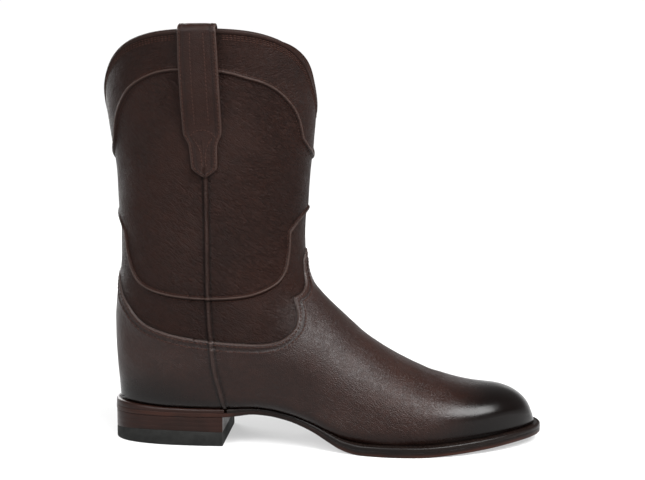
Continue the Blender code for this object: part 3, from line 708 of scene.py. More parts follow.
def seam_line(runs):
    """Runs of 3-D points joined at corners, from the rear round the lateral side
    to the ridge; returns chart columns and rows for the whole way round."""
    rr, cc = [], []
    for run in runs:
        chart = []
        for p in catmull(run, 1.0):
            r, c = to_chart(p)
            chart.append((r, c - 2 * NC if c > 0.6 * NC else c))
        chart = np.array(chart)
        rr += list(chart[:, 0])
        cc += list(chart[:, 1])
    cc, rr = np.array(cc), np.array(rr)
    cc[0] = -NC
    keep = cc < -0.3
    keep[0] = True
    cc, rr = np.append(cc[keep], 0.0), np.append(rr[keep], rr[-1])
    return np.concatenate([cc, -cc[-2::-1]]), np.concatenate([rr, rr[-2::-1]])


def inside(px, py, qx, qy):
    """Even-odd test of many points against one closed outline."""
    out = np.zeros(len(px), bool)
    n = len(qx)
    for i in range(n):
        x0, y0, x1, y1 = qx[i - 1], qy[i - 1], qx[i], qy[i]
        if y0 == y1:
            continue
        hit = (y0 > py) != (y1 > py)
        out ^= hit & (px < (x1 - x0) * (py - y0) / (y1 - y0) + x0)
    return out


COLLAR = [
    [(-151.0, 1.8, 203.5), (-149.5, -8, 209), (-147.6, -15.5, 215.5)],
    [(-147.6, -15.5, 215.5), (-146.8, -19, 222), (-145, -23, 231), (-140, -29, 242), (-133, -35, 251),
     (-122, -41, 258), (-110, -46, 262), (-97, -49, 263.3), (-82, -50, 263.4), (-69, -49, 262),
     (-61, -47, 260.6), (-51, -44, 257.6), (-41, -40, 254.6), (-32, -35, 249.6), (-24, -29, 241.5),
     (-19, -24, 233), (-16.5, -20.5, 224), (-15.5, -17.8, 216.5)],
    [(-15.5, -17.8, 216.5), (-12.5, -10.5, 210), (-10, 2.5, 203.2)],
]
LOWER = [
    [(-148.2, 1.8, 165.5), (-146, -12, 158.5), (-141.5, -20, 150.5)],
    [(-141.5, -20, 150.5), (-140, -21.5, 143), (-138.3, -23, 134), (-135, -26, 125), (-130, -31, 117),
     (-121, -36, 112), (-109, -40, 109.2), (-97, -44, 107.8), (-82, -45, 107), (-62, -44, 107.5),
     (-49, -41, 109.2), (-38, -36, 113), (-30, -31, 118.3), (-26, -26.8, 125.4), (-24.3, -24.6, 134),
     (-23.6, -23.4, 142.5), (-23.5, -22.8, 151)],
    [(-23.5, -22.8, 151), (-19, -15, 158.6), (-14.5, -6, 164), (-13, 3, 167)],
]
VAMP = [
    [(-149.4, 1.8, 124), (-148.6, -6, 120), (-147, -12, 114), (-144, -18, 106), (-138, -25, 98),
     (-133, -29, 92), (-125, -33, 86.4), (-110, -39, 81.6), (-94, -42, 78.8), (-77, -44, 77.0),
     (-60, -45, 75.9), (-43, -45, 75.6), (-30, -43, 77.8), (-23, -40, 82),
     (-18.6, -37, 87.4), (-17.4, -32.5, 94), (-18.8, -29, 101), (-20.5, -27, 106)],
    [(-20.5, -27, 106), (-16.5, -19.5, 108), (-14.5, -13, 113), (-14, -9.8, 121), (-14.3, -8.4, 130)],
    [(-14.3, -8.4, 130), (-14.2, -3, 134.5), (-14.0, 3, 138)],
]
SIDE = [(-79.6, -47, 222), (-79.4, -45, 190), (-79.2, -45, 170), (-79.1, -45, 148), (-79.0, -45, 128),
        (-78.8, -45, 107), (-78.2, -44.6, 91), (-77, -44, 75), (-75, -41, 55), (-72, -37, 40),
        (-69.5, -32, 28.6)]

seams = [seam_line(runs) for runs in (COLLAR, LOWER, VAMP)]
side_rc = np.array([to_chart(p) for p in catmull(SIDE, 1.0)])
side_r, side_c = side_rc[:, 0], -side_rc[:, 1]              # column magnitude


def distances(points, line, reach=12.0):
    """Exact distance of points to a fine polyline, only within reach."""
    t = KDTree(len(line))
    for i, p in enumerate(line):
        t.insert(p, i)
    t.balance()
    out = np.full(len(points), 99.0)
    lo, hi = line.min(0) - reach, line.max(0) + reach
    near = np.nonzero(((points > lo) & (points < hi)).all(1))[0]
    for i in near:
        p = points[i]
        _, k, d = t.find(p)
        if d > reach:
            continue
        for a in (k - 1, k):
            if 0 <= a < len(line) - 1:
                u = line[a + 1] - line[a]
                L = u @ u
                if L > 1e-12:
                    q = p - line[a] - u * min(1.0, max(0.0, (p - line[a]) @ u / L))
                    d = min(d, math.sqrt(q @ q))
        out[i] = d
    return out


pts = B.reshape(-1, 3)
RR, CG = np.meshgrid(np.arange(NR), CC, indexing="ij")
rflat, cflat = RR.reshape(-1).astype(float), CG.reshape(-1).astype(float)
fields = []
for cc, rr in seams:
    line = on_chart(rr, cc)
    above_it = inside(cflat, rflat, np.concatenate([[-NC - 9], cc, [NC + 9, NC + 9, -NC - 9]]),
                      np.concatenate([rr[:1], rr, [rr[-1], 2000.0, 2000.0]]))
    sign = np.where(above_it, 1.0, -1.0)
    fields.append(distances(pts, line) * sign)
g_field = np.full(len(pts), 99.0)
for sd in (-1, 1):
    line = on_chart(side_r, side_c * sd)
    d = distances(pts, line)
    behind = inside(np.abs(cflat), rflat, np.concatenate([side_c, [400.0, 400.0]]),
                    np.concatenate([side_r, [side_r[-1], side_r[0]]]))
    s_sign = np.where(behind, -1.0, 1.0)
    mine = cflat * sd > 0
    g_field = np.where(mine & (d < 98), d * s_sign, g_field)
rim_run = np.full((NR, NCOL), 99.0)
rim_run[-1] = 0.0
for i in range(NR - 2, NR - 1 - N_DRAPE - 1, -1):
    rim_run[i] = rim_run[i + 1] + np.linalg.norm(B[i + 1] - B[i], axis=1)

# columns of the working table
XYZ, NOR = slice(0, 3), slice(3, 6)
F1, F2, F3, SG, RIMD, ROWN, COLN = 6, 7, 8, 9, 10, 11, 12
TAB = np.concatenate([pts, N1.reshape(-1, 3), np.stack(fields + [g_field, rim_run.reshape(-1),
                                                              rflat, cflat], 1)], axis=1)

# triangles of the chart; closed rows share the rear column
ids = np.arange(NR * NCOL).reshape(NR, NCOL)
tri = []
a, b = ids[:-1, :-1], ids[1:, :-1]
c, d = ids[1:, 1:], ids[:-1, 1:]
odd = (RR[:-1, :-1] + (CG[:-1, :-1] >= 0)) % 2 == 0
T1 = np.where(odd[..., None], np.stack([a, d, c], -1), np.stack([a, d, b], -1)).reshape(-1, 3)
T2 = np.where(odd[..., None], np.stack([a, c, b], -1), np.stack([d, c, b], -1)).reshape(-1, 3)
TRI = np.concatenate([T1, T2])


def split(tab, tri, col, level):
    """Cuts the triangles along one level line of a field."""
    f = tab[:, col] - level
    f = np.where(np.abs(f) < 1e-4, 1e-4, f)
    s = f > 0
    st = s[tri]
    n_pos = st.sum(1)
    cut = (n_pos == 1) | (n_pos == 2)
    span = np.abs(f[tri]).max(1) < 30
    cut &= span
    if not cut.any():
        return tab, tri
    keep, work = tri[~cut], tri[cut]
    sw = s[work]
    lone_is = np.where((sw.sum(1) == 1)[:, None], sw, ~sw)
    k = np.argmax(lone_is, 1)
    n = np.arange(len(work))
    A_, B_, C_ = work[n, k], work[n, (k + 1) % 3], work[n, (k + 2) % 3]
    e = np.concatenate([np.stack([A_, B_], 1), np.stack([A_, C_], 1)])
    e.sort(1)
    uniq, inv = np.unique(e, axis=0, return_inverse=True)
    inv = inv.reshape(-1)
    fa, fb = f[uniq[:, 0]], f[uniq[:, 1]]
    t = (fa / (fa - fb))[:, None]
    new = tab[uniq[:, 0]] * (1 - t) + tab[uniq[:, 1]] * t
    new[:, col] = level
    base = len(tab)
    AB, AC = base + inv[:len(work)], base + inv[len(work):]
    out = np.concatenate([keep, np.stack([A_, AB, AC], 1), np.stack([AB, B_, C_], 1),
                          np.stack([AB, C_, AC], 1)])
    return np.concatenate([tab, new]), out


LEVELS = {
    F1: (-2.6, -1.75, -1.35, -0.95, -0.5, 0.0, 0.5, 0.95, 1.35, 1.75),
    F2: (-1.75, -1.35, -0.95, -0.5, 0.0, 0.5, 0.95, 1.35, 1.75, 2.6),
    F3: (-1.6, -0.7, -0.2, 0.12, 0.34),
    SG: (-2.3, -1.85, -1.5, -0.8, 0.0, 0.8, 1.5, 1.85, 2.3),
}
tab, tri = TAB, TRI
for col, levels in LEVELS.items():
    for level in levels:
        tab, tri = split(tab, tri, col, level)
n = tab[:, NOR]
tab[:, NOR] = n / np.maximum(1e-9, np.linalg.norm(n, axis=1, keepdims=True))


def height(t):
    """How far the skin stands off the lasted surface, by seam distances."""
    f1, f2, f3, sg, rd = t[:, F1], t[:, F2], t[:, F3], t[:, SG], t[:, RIMD]
    h = np.full(len(t), -0.15)
    h += 0.45 * smooth((f1 + 1.0) / 1.6)
    h += 1.25 * bump(f1, 1.6)
    h -= 0.22 * np.exp(-((f1 + 1.9) / 0.55) ** 2)
    h += 1.25 * bump(f2, 1.6)
    h -= 0.22 * np.exp(-((f2 - 1.9) / 0.55) ** 2)
    h -= 0.75 * (1 - smooth((f2 + 1.2) / 1.8))
    over = 1 - smooth((f3 + 0.62) / 0.9)
    h = np.where(f3 < 0.34, h * (1 - over) + 0.28 * over, h)
    h = np.where(f3 >= 0.34, h - 0.12 * np.exp(-((f3 - 0.34) / 0.5) ** 2), h)
    # pressed line and soft roll beside the vamp and counter edge
    h -= 0.48 * np.exp(-((f3 + 4.1) / 0.8) ** 2)
    h += 0.30 * np.exp(-((f3 + 6.3) / 1.2) ** 2)
    # the side seam runs over every panel, under the strap at its top
    z = t[:, 2]
    on = smooth((208 - z) / 8.0)
    rib = 0.85 * (1 - smooth((np.abs(sg) - 1.25) / 0.6)) + 0.25 * bump(sg, 1.2)
    groove = 0.32 * np.exp(-((np.abs(sg) - 2.15) / 0.45) ** 2)
    fade = 1.0 - 0.8 * np.exp(-(f1 / 2.5) ** 2)
    h += on * fade * (rib - groove)
    return h


SKIN = tab[:, XYZ] + tab[:, NOR] * height(tab)[:, None]

# ---------------------------------------------------------------- materials
def value_node(nt, kind, **inputs):
    n = nt.nodes.new(kind)
    for k, v in inputs.items():
        n.inputs[k].default_value = v
    return n


def math_node(nt, op, a, b=None, c=None, clamp=False):
    n = nt.nodes.new("ShaderNodeMath")
    n.operation = op
    n.use_clamp = clamp
    for i, v in enumerate((a, b, c)):
        if v is None:
            continue
        if isinstance(v, (int, float)):
            n.inputs[i].default_value = v
        else:
            nt.links.new(v, n.inputs[i])
    return n.outputs[0]


def mix_color(nt, fac, a, b, mode="MIX"):
    n = nt.nodes.new("ShaderNodeMix")
    n.data_type = "RGBA"
    n.blend_type = mode
    for sock, v in ((n.inputs[0], fac), (n.inputs[6], a), (n.inputs[7], b)):
        if isinstance(v, tuple):
            sock.default_value = (*v, 1.0)
        elif isinstance(v, (int, float)):
            sock.default_value = v
        else:
            nt.links.new(v, sock)
    return n.outputs[2]


def ramp(nt, v, lo, hi, a=0.0, b=1.0):
    n = nt.nodes.new("ShaderNodeMapRange")
    n.interpolation_type = "SMOOTHSTEP"
    nt.links.new(v, n.inputs[0])
    for i, x in enumerate((lo, hi, a, b)):
        n.inputs[i + 1].default_value = x
    return n.outputs[0]


def coords(nt, scale=(1, 1, 1), rot=(0, 0, 0)):
    tc = nt.nodes.new("ShaderNodeTexCoord")
    mp = nt.nodes.new("ShaderNodeMapping")
    mp.inputs["Scale"].default_value = scale
    mp.inputs["Rotation"].default_value = rot
    nt.links.new(tc.outputs["Object"], mp.inputs["Vector"])
    return mp.outputs[0]


def noise(nt, vec, scale, detail=2.0, rough=0.5, dist=0.0):
    n = value_node(nt, "ShaderNodeTexNoise", Scale=scale, Detail=detail, Roughness=rough, Distortion=dist)
    nt.links.new(vec, n.inputs["Vector"])
    return n.outputs["Fac"]


def cells(nt, vec, scale, smoothness=0.0, feature="DISTANCE_TO_EDGE"):
    n = nt.nodes.new("ShaderNodeTexVoronoi")
    n.feature = feature
    n.inputs["Scale"].default_value = scale
    nt.links.new(vec, n.inputs["Vector"])
    return n.outputs["Distance"]


def attr(nt, name):
    n = nt.nodes.new("ShaderNodeAttribute")
    n.attribute_name = name
    return n.outputs["Fac"]


def leather(name, base, dark, glow, grain=0.00012, cell=780.0, wrinkle=0.0, rough=(0.40, 0.55),
            coat=0.02, coat_rough=0.25, spec=0.058, wrinkle_rot=0.6, use_attr=True, pores=0.00004):
    """Finished leather: pebble grain, pores, slanting fine wrinkles; painted shade
    darkening the seam grooves; near black on the burnished toe and heel seat, and as
    painted shade along the sole line above the welt; rubbed lighter crests of cords
    and edges that also serve as painted highlights; base/dark/glow are linear colours."""
    m = bpy.data.materials.new(name)
    m.use_nodes = True
    nt = m.node_tree
    b = nt.nodes["Principled BSDF"]
    plain = coords(nt)
    warp = nt.nodes.new("ShaderNodeTexNoise")
    warp.inputs["Scale"].default_value = 140.0
    warp.inputs["Detail"].default_value = 2.0
    nt.links.new(plain, warp.inputs["Vector"])
    vm = nt.nodes.new("ShaderNodeVectorMath")
    vm.operation = "MULTIPLY_ADD"
    nt.links.new(warp.outputs["Color"], vm.inputs[0])
    vm.inputs[1].default_value = (0.003, 0.003, 0.003)
    nt.links.new(plain, vm.inputs[2])
    warped = vm.outputs[0]
    # colour
    big = ramp(nt, noise(nt, plain, 16.0, 3.0, 0.55), 0.36, 0.66)
    col = mix_color(nt, big, base, glow)
    small = ramp(nt, noise(nt, plain, 260.0, 3.0, 0.6), 0.35, 0.7)
    col = mix_color(nt, math_node(nt, "MULTIPLY", small, 0.30), col, dark)
    edge = cells(nt, warped, cell)
    pit = ramp(nt, edge, 0.0, 0.16, 1.0, 0.0)
    col = mix_color(nt, math_node(nt, "MULTIPLY", pit, 0.35), col, dark)
    burn_and_shade = None
    if use_attr:
        burn_and_shade = attr(nt, "burnish_and_welt_shade")
        # painted shade: darker in the seam grooves
        seam_shade_at = attr(nt, "seam_shade")
        col = mix_color(nt, math_node(nt, "MULTIPLY", seam_shade_at, 0.75), col, dark)
        # rubbed lighter crests of cords and edges, which also stand in as painted highlights
        rub_highlight_at = attr(nt, "rub_and_highlight")
        col = mix_color(nt, math_node(nt, "MULTIPLY", rub_highlight_at, 0.75), col, (0.042, 0.0270, 0.0225))
        # near black on the burnished toe and heel seat; along the sole line this is painted shade
        col = mix_color(nt, burn_and_shade, col, (0.0012, 0.0007, 0.0006))
    nt.links.new(col, b.inputs["Base Color"])
    # roughness
    r = ramp(nt, noise(nt, plain, 60.0, 4.0, 0.6), 0.3, 0.7, rough[0], rough[1])
    if burn_and_shade is not None:
        r = math_node(nt, "MULTIPLY_ADD", burn_and_shade, -0.20, r)
        r = math_node(nt, "MULTIPLY_ADD", rub_highlight_at, -0.18, r)
    nt.links.new(r, b.inputs["Roughness"])
    # relief
    pebble = ramp(nt, edge, 0.0, 0.30, 0.0, 1.0)
    fine_n = noise(nt, plain, 1500.0, 2.0, 0.6)
    h = math_node(nt, "MULTIPLY", pebble, grain)
    h = math_node(nt, "MULTIPLY_ADD", fine_n, pores, h)
    if wrinkle > 0:
        turned = coords(nt, (1.0, 1.0, 1.0), (0.0, -wrinkle_rot, 0.0))
        sq = nt.nodes.new("ShaderNodeMapping")
        sq.inputs["Scale"].default_value = (190.0, 280.0, 640.0)
        nt.links.new(turned, sq.inputs["Vector"])
        wr = noise(nt, sq.outputs[0], 1.0, 3.0, 0.6, 1.1)
        wr = ramp(nt, wr, 0.36, 0.60, 0.0, 1.0)
        patch = ramp(nt, noise(nt, plain, 22.0, 2.0), 0.34, 0.62, 0.25, 1.0)
        wr = math_node(nt, "MULTIPLY", wr, patch)
        h = math_node(nt, "MULTIPLY_ADD", wr, wrinkle, h)
    if use_attr:
        keep = math_node(nt, "MULTIPLY_ADD", burn_and_shade, -0.96, 1.0)
        keep = math_node(nt, "POWER", keep, 1.7)
        h = math_node(nt, "MULTIPLY", h, keep)
    bp = nt.nodes.new("ShaderNodeBump")
    bp.inputs["Strength"].default_value = 1.0
    bp.inputs["Distance"].default_value = 1.0
    nt.links.new(h, bp.inputs["Height"])
    nt.links.new(bp.outputs[0], b.inputs["Normal"])
    b.inputs["Specular IOR Level"].default_value = spec
    b.inputs["Coat Weight"].default_value = coat
    b.inputs["Coat Roughness"].default_value = coat_rough
    m.diffuse_color = (*base, 1.0)
    return m


BROWN, DEEP, WARM = (0.0069, 0.0023, 0.0014), (0.0020, 0.0009, 0.0007), (0.0100, 0.0034, 0.0021)
mat_collar = leather("leather_collar", BROWN, DEEP, WARM, wrinkle=0.00036, wrinkle_rot=-0.35)
mat_shaft = leather("leather_shaft", BROWN, DEEP, WARM, wrinkle=0.00080, wrinkle_rot=0.62)
mat_lower = leather("leather_lower_shaft", BROWN, DEEP, WARM, wrinkle=0.00048, wrinkle_rot=0.5)
mat_foot = leather("leather_foot", (0.0090, 0.0029, 0.0018), DEEP, (0.0124, 0.0041, 0.0025), grain=0.00013,
                   wrinkle=0.00012, rough=(0.36, 0.46), coat=0.02, coat_rough=0.25, spec=0.16)
mat_strap = leather("leather_strap", (0.0090, 0.0031, 0.0020), DEEP, WARM, wrinkle=0.00010, rough=(0.34, 0.46), spec=0.08)
mat_bind = leather("leather_binding", (0.0095, 0.0040, 0.0028), DEEP, WARM, grain=0.00008, cell=1100.0,
                   use_attr=False)
mat_lining = leather("leather_lining", (0.045, 0.022, 0.012), (0.022, 0.011, 0.006), (0.06, 0.031, 0.018),
                     grain=0.00006, rough=(0.55, 0.7), coat=0.0, spec=0.08, use_attr=False)
mat_sock = leather("leather_sock", (0.06, 0.032, 0.018), (0.03, 0.016, 0.009), (0.075, 0.042, 0.024),
                   grain=0.00006, rough=(0.55, 0.7), coat=0.0, spec=0.08, use_attr=False)


def thread(name, colour):
    """Waxed thread: twisted strands by a fine slanted wave, lighter on the raised strands and darker in the grooves
    as painted light and shade, and darker in places at random.
    """
    m = bpy.data.materials.new(name)
    m.use_nodes = True
    nt = m.node_tree
    b = nt.nodes["Principled BSDF"]
    v = coords(nt, (1, 1, 1), (0.5, 0.4, 0.7))
    w = nt.nodes.new("ShaderNodeTexWave")
    w.inputs["Scale"].default_value = 900.0
    w.inputs["Distortion"].default_value = 1.5
    nt.links.new(v, w.inputs["Vector"])
    # painted light and shade: the raised strands of the twist lighter, its grooves darker
    c = mix_color(nt, w.outputs["Fac"], tuple(x * 0.55 for x in colour), colour)
    n = ramp(nt, noise(nt, coords(nt), 90.0, 2.0), 0.35, 0.65)
    c = mix_color(nt, math_node(nt, "MULTIPLY", n, 0.4), c, tuple(x * 0.6 for x in colour))
    nt.links.new(c, b.inputs["Base Color"])
    bp = nt.nodes.new("ShaderNodeBump")
    bp.inputs["Distance"].default_value = 0.00012
    nt.links.new(w.outputs["Fac"], bp.inputs["Height"])
    nt.links.new(bp.outputs[0], b.inputs["Normal"])
    b.inputs["Roughness"].default_value = 0.55
    b.inputs["Specular IOR Level"].default_value = 0.08
    m.diffuse_color = (*colour, 1.0)
    return m


mat_thread = thread("thread_brown", (0.027, 0.0100, 0.0064))
mat_thread_dark = thread("thread_dark", (0.0085, 0.0042, 0.0032))


# ---------------------------------------------------------------- skin panels
UX, UZ = SKIN[:, 0], SKIN[:, 2]


def shade_fields(p, t=None):
    """Darkening by place: near black on the burnished toe and heel seat, painted shade
    along the sole line above the welt, and painted shade in the seam grooves.
    """
    x, z = p[:, 0], p[:, 2]
    sole_z = np.interp(x, TOP.x, TOP.y)
    up = smooth((z - sole_z - 12) / 26.0)
    toe = smooth((x - 60 - 16 * up) / 52.0) * 0.97
    # painted shade: a darker band along the sole line, where shade falls above the welt
    low = smooth((sole_z + 13 - z) / 12.0) * 0.62
    heel = smooth((-60 - x) / 60.0) * smooth((62 - z) / 28.0) * 0.85
    burn_and_shade = 1 - (1 - toe) * (1 - low) * (1 - heel)
    seam_shade = np.zeros(len(p))
    if t is not None:
        # painted shade in the grooves beside the cords, at the foot of the overlay edge, along the pressed line and
        # beside the side seam
        seam_shade = np.maximum(seam_shade, 0.75 * np.exp(-((t[:, F1] + 1.9) / 0.7) ** 2))
        seam_shade = np.maximum(seam_shade, 0.35 * np.exp(-((t[:, F1] - 1.7) / 0.5) ** 2))
        seam_shade = np.maximum(seam_shade, 0.5 * np.exp(-((t[:, F2] - 1.9) / 0.6) ** 2))
        seam_shade = np.maximum(seam_shade, 0.6 * np.exp(-((t[:, F2] + 1.7) / 0.6) ** 2))
        seam_shade = np.maximum(seam_shade, 0.9 * np.exp(-((t[:, F3] - 0.5) / 0.8) ** 2))
        seam_shade = np.maximum(seam_shade, 0.80 * np.exp(-((t[:, F3] + 4.1) / 0.8) ** 2))
        on = smooth((208 - z) / 8.0)
        seam_shade = np.maximum(seam_shade, 1.0 * on * np.exp(-((np.abs(t[:, SG]) - 2.1) / 0.7) ** 2))
    return burn_and_shade, seam_shade


def panel(name, mask, mat):
    used, inv = np.unique(tri[mask], return_inverse=True)
    f = inv.reshape(-1, 3)
    ob = make(name, SKIN[used], f, mat)
    burn_and_shade, seam_shade = shade_fields(SKIN[used], tab[used])
    put(ob, "burnish_and_welt_shade", burn_and_shade)
    put(ob, "seam_shade", seam_shade)
    t = tab[used]
    z = t[:, 2]
    # rubbed lighter crests of the cords, overlay edge and side seam, also serving as painted highlights
    rub_and_highlight = 0.85 * np.exp(-((t[:, F1] - 0.35) / 0.55) ** 2)
    rub_and_highlight = np.maximum(rub_and_highlight, 0.85 * np.exp(-((t[:, F2] - 0.35) / 0.55) ** 2))
    rub_and_highlight = np.maximum(rub_and_highlight, 0.55 * np.exp(-((t[:, F3] + 0.25) / 0.4) ** 2))
    rub_and_highlight = np.maximum(rub_and_highlight, 0.25 * smooth((205 - z) / 8.0) * np.exp(-(t[:, SG] / 0.9) ** 2))
    put(ob, "rub_and_highlight", rub_and_highlight)
    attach(ob, "root")
    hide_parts("upper")
    return ob


m1 = tab[tri][:, :, F1].mean(1)
m2 = tab[tri][:, :, F2].mean(1)
m3 = tab[tri][:, :, F3].mean(1)
centre_r = tab[tri][:, :, ROWN].mean(1)
in_foot = m3 <= 0.34
in_lower = ~in_foot & (m2 <= 1.75)
in_collar = m1 > -2.6
in_shaft = ~in_foot & ~in_lower & ~in_collar
skins = [panel("skin_collar", in_collar, mat_collar), panel("skin_shaft", in_shaft, mat_shaft),
         panel("skin_lower_shaft", in_lower & ~in_collar, mat_lower),
         panel("skin_foot", in_foot & ~in_collar, mat_foot)]


# ---------------------------------------------------------------- rows of stitches
def contour(col, level, keep=None):
    """Ordered polylines (table rows) where a field takes one value."""
    f = tab[:, col] - level
    f = np.where(np.abs(f) < 1e-6, 1e-6, f)
    s = f > 0
    st = s[tri].sum(1)
    hit = np.nonzero(((st == 1) | (st == 2)) & (np.abs(f[tri]).max(1) < 30))[0]
    point, link = {}, {}
    for i in hit:
        ends = []
        for a_, b_ in ((0, 1), (1, 2), (2, 0)):
            p, q = tri[i][a_], tri[i][b_]
            if s[p] != s[q]:
                key = (min(p, q), max(p, q))
                if key not in point:
                    t = f[p] / (f[p] - f[q])
                    point[key] = tab[p] * (1 - t) + tab[q] * t
                ends.append(key)
        if len(ends) == 2:
            link.setdefault(ends[0], []).append(ends[1])
            link.setdefault(ends[1], []).append(ends[0])
    seen, lines = set(), []
    starts = [k for k, v in link.items() if len(v) == 1] + list(link)
    for s0 in starts:
        if s0 in seen:
            continue
        run, here, prev = [s0], s0, None
        seen.add(s0)
        while True:
            nxt = [k for k in link[here] if k not in seen]
            if not nxt:
                break
            prev, here = here, nxt[0]
            seen.add(here)
            run.append(here)
        lines.append(np.array([point[k] for k in run]))
    out = []
    for ln in lines:
        if keep is not None:
            ok = keep(ln)
            cut = np.nonzero(np.diff(ok.astype(int)))[0] + 1
            for part_, flag in zip(np.split(ln, cut), [ok[0]] + [ok[i] for i in cut]):
                if flag and len(part_) > 3:
                    out.append(part_)
        elif len(ln) > 3:
            out.append(ln)
    return out


def lay(ln):
    """Skin points and normals on a polyline of table rows."""
    n = ln[:, NOR] / np.maximum(1e-9, np.linalg.norm(ln[:, NOR], axis=1, keepdims=True))
    return ln[:, XYZ] + n * height(ln)[:, None], n


STITCH_L, STITCH_W, STITCH_H = 2.25, 0.42, 0.30


def unit_stitch():
    """A short thread: five-sided, thin at both ends."""
    v, f = [], []
    stations_ = ((-0.5, 0.25, -0.9), (-0.36, 0.85, -0.1), (0.0, 1.0, 0.15), (0.36, 0.85, -0.1), (0.5, 0.25, -0.9))
    for u, r, dz in stations_:
        for k in range(6):
            a_ = 2 * math.pi * k / 6
            v.append((u, math.cos(a_) * r, math.sin(a_) * r + dz))
    for i in range(len(stations_) - 1):
        for k in range(6):
            f.append((6 * i + k, 6 * i + (k + 1) % 6, 6 * i + 6 + (k + 1) % 6, 6 * i + 6 + k))
    f.append(tuple(range(5, -1, -1)))
    f.append(tuple(range(6 * 4, 6 * 5)))
    return np.array(v), f


UNIT_V, UNIT_F = unit_stitch()


def sew(rows_, pitch=3.0, length=STITCH_L, width=STITCH_W, tall=STITCH_H, lean=0.10, start=0.5):
    """Stitches along (points, normals) rows; returns verts and faces."""
    V, F_ = [], []
    for p, n_ in rows_:
        seg = np.linalg.norm(np.diff(p, axis=0), axis=1)
        run = np.concatenate([[0], np.cumsum(seg)])
        count = int((run[-1] - start * 2 * pitch * 0.5) / pitch)
        if count < 1:
            continue
        for k in range(count + 1):
            at = start * pitch + k * pitch
            if at > run[-1]:
                break
            c_ = np.array([np.interp(at, run, p[:, j]) for j in range(3)])
            a0 = np.array([np.interp(at - 0.9, run, p[:, j]) for j in range(3)])
            a1 = np.array([np.interp(at + 0.9, run, p[:, j]) for j in range(3)])
            nn = np.array([np.interp(at, run, n_[:, j]) for j in range(3)])
            t_ = a1 - a0
            t_ /= max(1e-9, np.linalg.norm(t_))
            nn -= t_ * (nn @ t_)
            nn /= max(1e-9, np.linalg.norm(nn))
            s_ = np.cross(nn, t_)
            t2 = t_ + s_ * lean
            t2 /= np.linalg.norm(t2)
            s2 = np.cross(nn, t2)
            base = sum(len(x) for x in V)
            V.append(c_ + UNIT_V[:, :1] * length * t2 + UNIT_V[:, 1:2] * width * s2
                     + (UNIT_V[:, 2:] * tall + 0.06) * nn)
            F_ += [tuple(base + i for i in f) for f in UNIT_F]
    if not V:
        return np.zeros((0, 3)), []
    return np.concatenate(V), F_


def stitches(name, rows_, mat, **kw):
    v, f = sew(rows_, **kw)
    if len(v) == 0:
        return None
    ob = make(name, v, f, mat)
    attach(ob, "root")
    return ob


def clear_of_side(ln):
    return np.abs(ln[:, SG]) > 2.4


def row(col, level, keep=clear_of_side):
    return [lay(ln) for ln in contour(col, level, keep)]


stitches("stitch_vamp_edge", row(F3, -2.0) + row(F3, -5.6), mat_thread, width=0.40)
stitches("stitch_collar", row(F1, -1.75) + row(F1, 2.0), mat_thread, pitch=2.3, length=1.8, width=0.30)
stitches("stitch_lower", row(F2, 1.75) + row(F2, -2.0), mat_thread, pitch=2.3, length=1.8, width=0.30)
STRAP_TOP = Curve([(190, 190.0), (294, 294.0)])


def clear_of_strap(ln):
    on = np.abs(ln[:, 0] - STRAP_MID(262)) < 14.5
    return ~on


STRAP_MID = Curve([(190, -79.6), (226, -81.2), (262, -82.2), (296, -82.8)])
rim_rows = []
for level in (3.1, 4.5, 5.9):
    rim_rows += [lay(ln) for ln in contour(RIMD, level, clear_of_strap)]
stitches("stitch_rim", rim_rows, mat_thread, pitch=2.6, length=2.0, width=0.34)

# ---------------------------------------------------------------- rolled binding on the rim
top_p, top_n = B[-1], N1[-1]
down = B[-4] - B[-1]
down /= np.linalg.norm(down, axis=1, keepdims=True)
LIFT0 = 0.30
BIND = [(0.25, -2.5), (0.70, -2.2), (0.95, -1.5), (0.98, -0.7), (0.80, 0.1), (0.35, 0.75), (-0.4, 1.1),
        (-1.3, 1.15), (-2.1, 0.85), (-2.65, 0.2), (-2.9, -0.8), (-2.95, -2.0), (-2.7, -3.1), (-2.3, -3.6)]
bv, bf = [], []
for j in range(NCOL - 1):
    for a_, b_ in BIND:
        bv.append(top_p[j] + top_n[j] * a_ - down[j] * b_)
K = len(BIND)
for j in range(NCOL - 1):
    j2 = (j + 1) % (NCOL - 1)
    for k in range(K - 1):
        bf.append((j * K + k, j2 * K + k, j2 * K + k + 1, j * K + k + 1))
bind = make("rim_binding", bv, bf, mat_bind)
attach(bind, "root")
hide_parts("upper")

# ---------------------------------------------------------------- lining
step_r, step_c = 2, 2
r_idx = list(range(0, NR - 1, step_r)) + [NR - 1]
c_idx = list(range(0, NCOL, step_c))
inner = B - N1 * 2.1
lv = inner[np.ix_(r_idx, c_idx)]
nl = len(c_idx)
lf = []
for i in range(len(r_idx) - 1):
    if r_idx[i] < 6:
        continue
    for j in range(nl - 1):
        a_ = i * nl + j
        lf.append((a_, a_ + 1, a_ + nl + 1, a_ + nl))
lf = np.array([list(q) for q in lf])
kept, at = np.unique(lf, return_inverse=True)
lining = make("lining", lv.reshape(-1, 3)[kept], at.reshape(lf.shape), mat_lining)
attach(lining, "root")
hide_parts("upper")

# ---------------------------------------------------------------- pull straps
STRAP_HALF = Curve([(190.6, 0.4), (193, 4.4), (197.3, 8.9), (205, 9.4), (212.5, 9.9), (216, 11.2),
                    (219.8, 13.1), (226, 13.5), (262, 13.6), (296, 12.9)])
STRAP = {
    -1: dict(name="pull_strap_lateral", thick=2.3, rise=5.4,
             off=Curve([(190, 0.35), (221, 0.35), (232, 1.5), (246, 3.6), (262, 4.9), (278, 5.4),
                        (290, 5.15)])),
    1: dict(name="pull_strap_medial", thick=2.3, rise=4.4,
            off=Curve([(190, 0.35), (226, 0.35), (240, 0.6), (256, 0.9), (272, 1.0), (290, 0.85)])),
}
LOOP_Z = 288.6
INNER_OFF = 0.5
INNER_END = 252.0


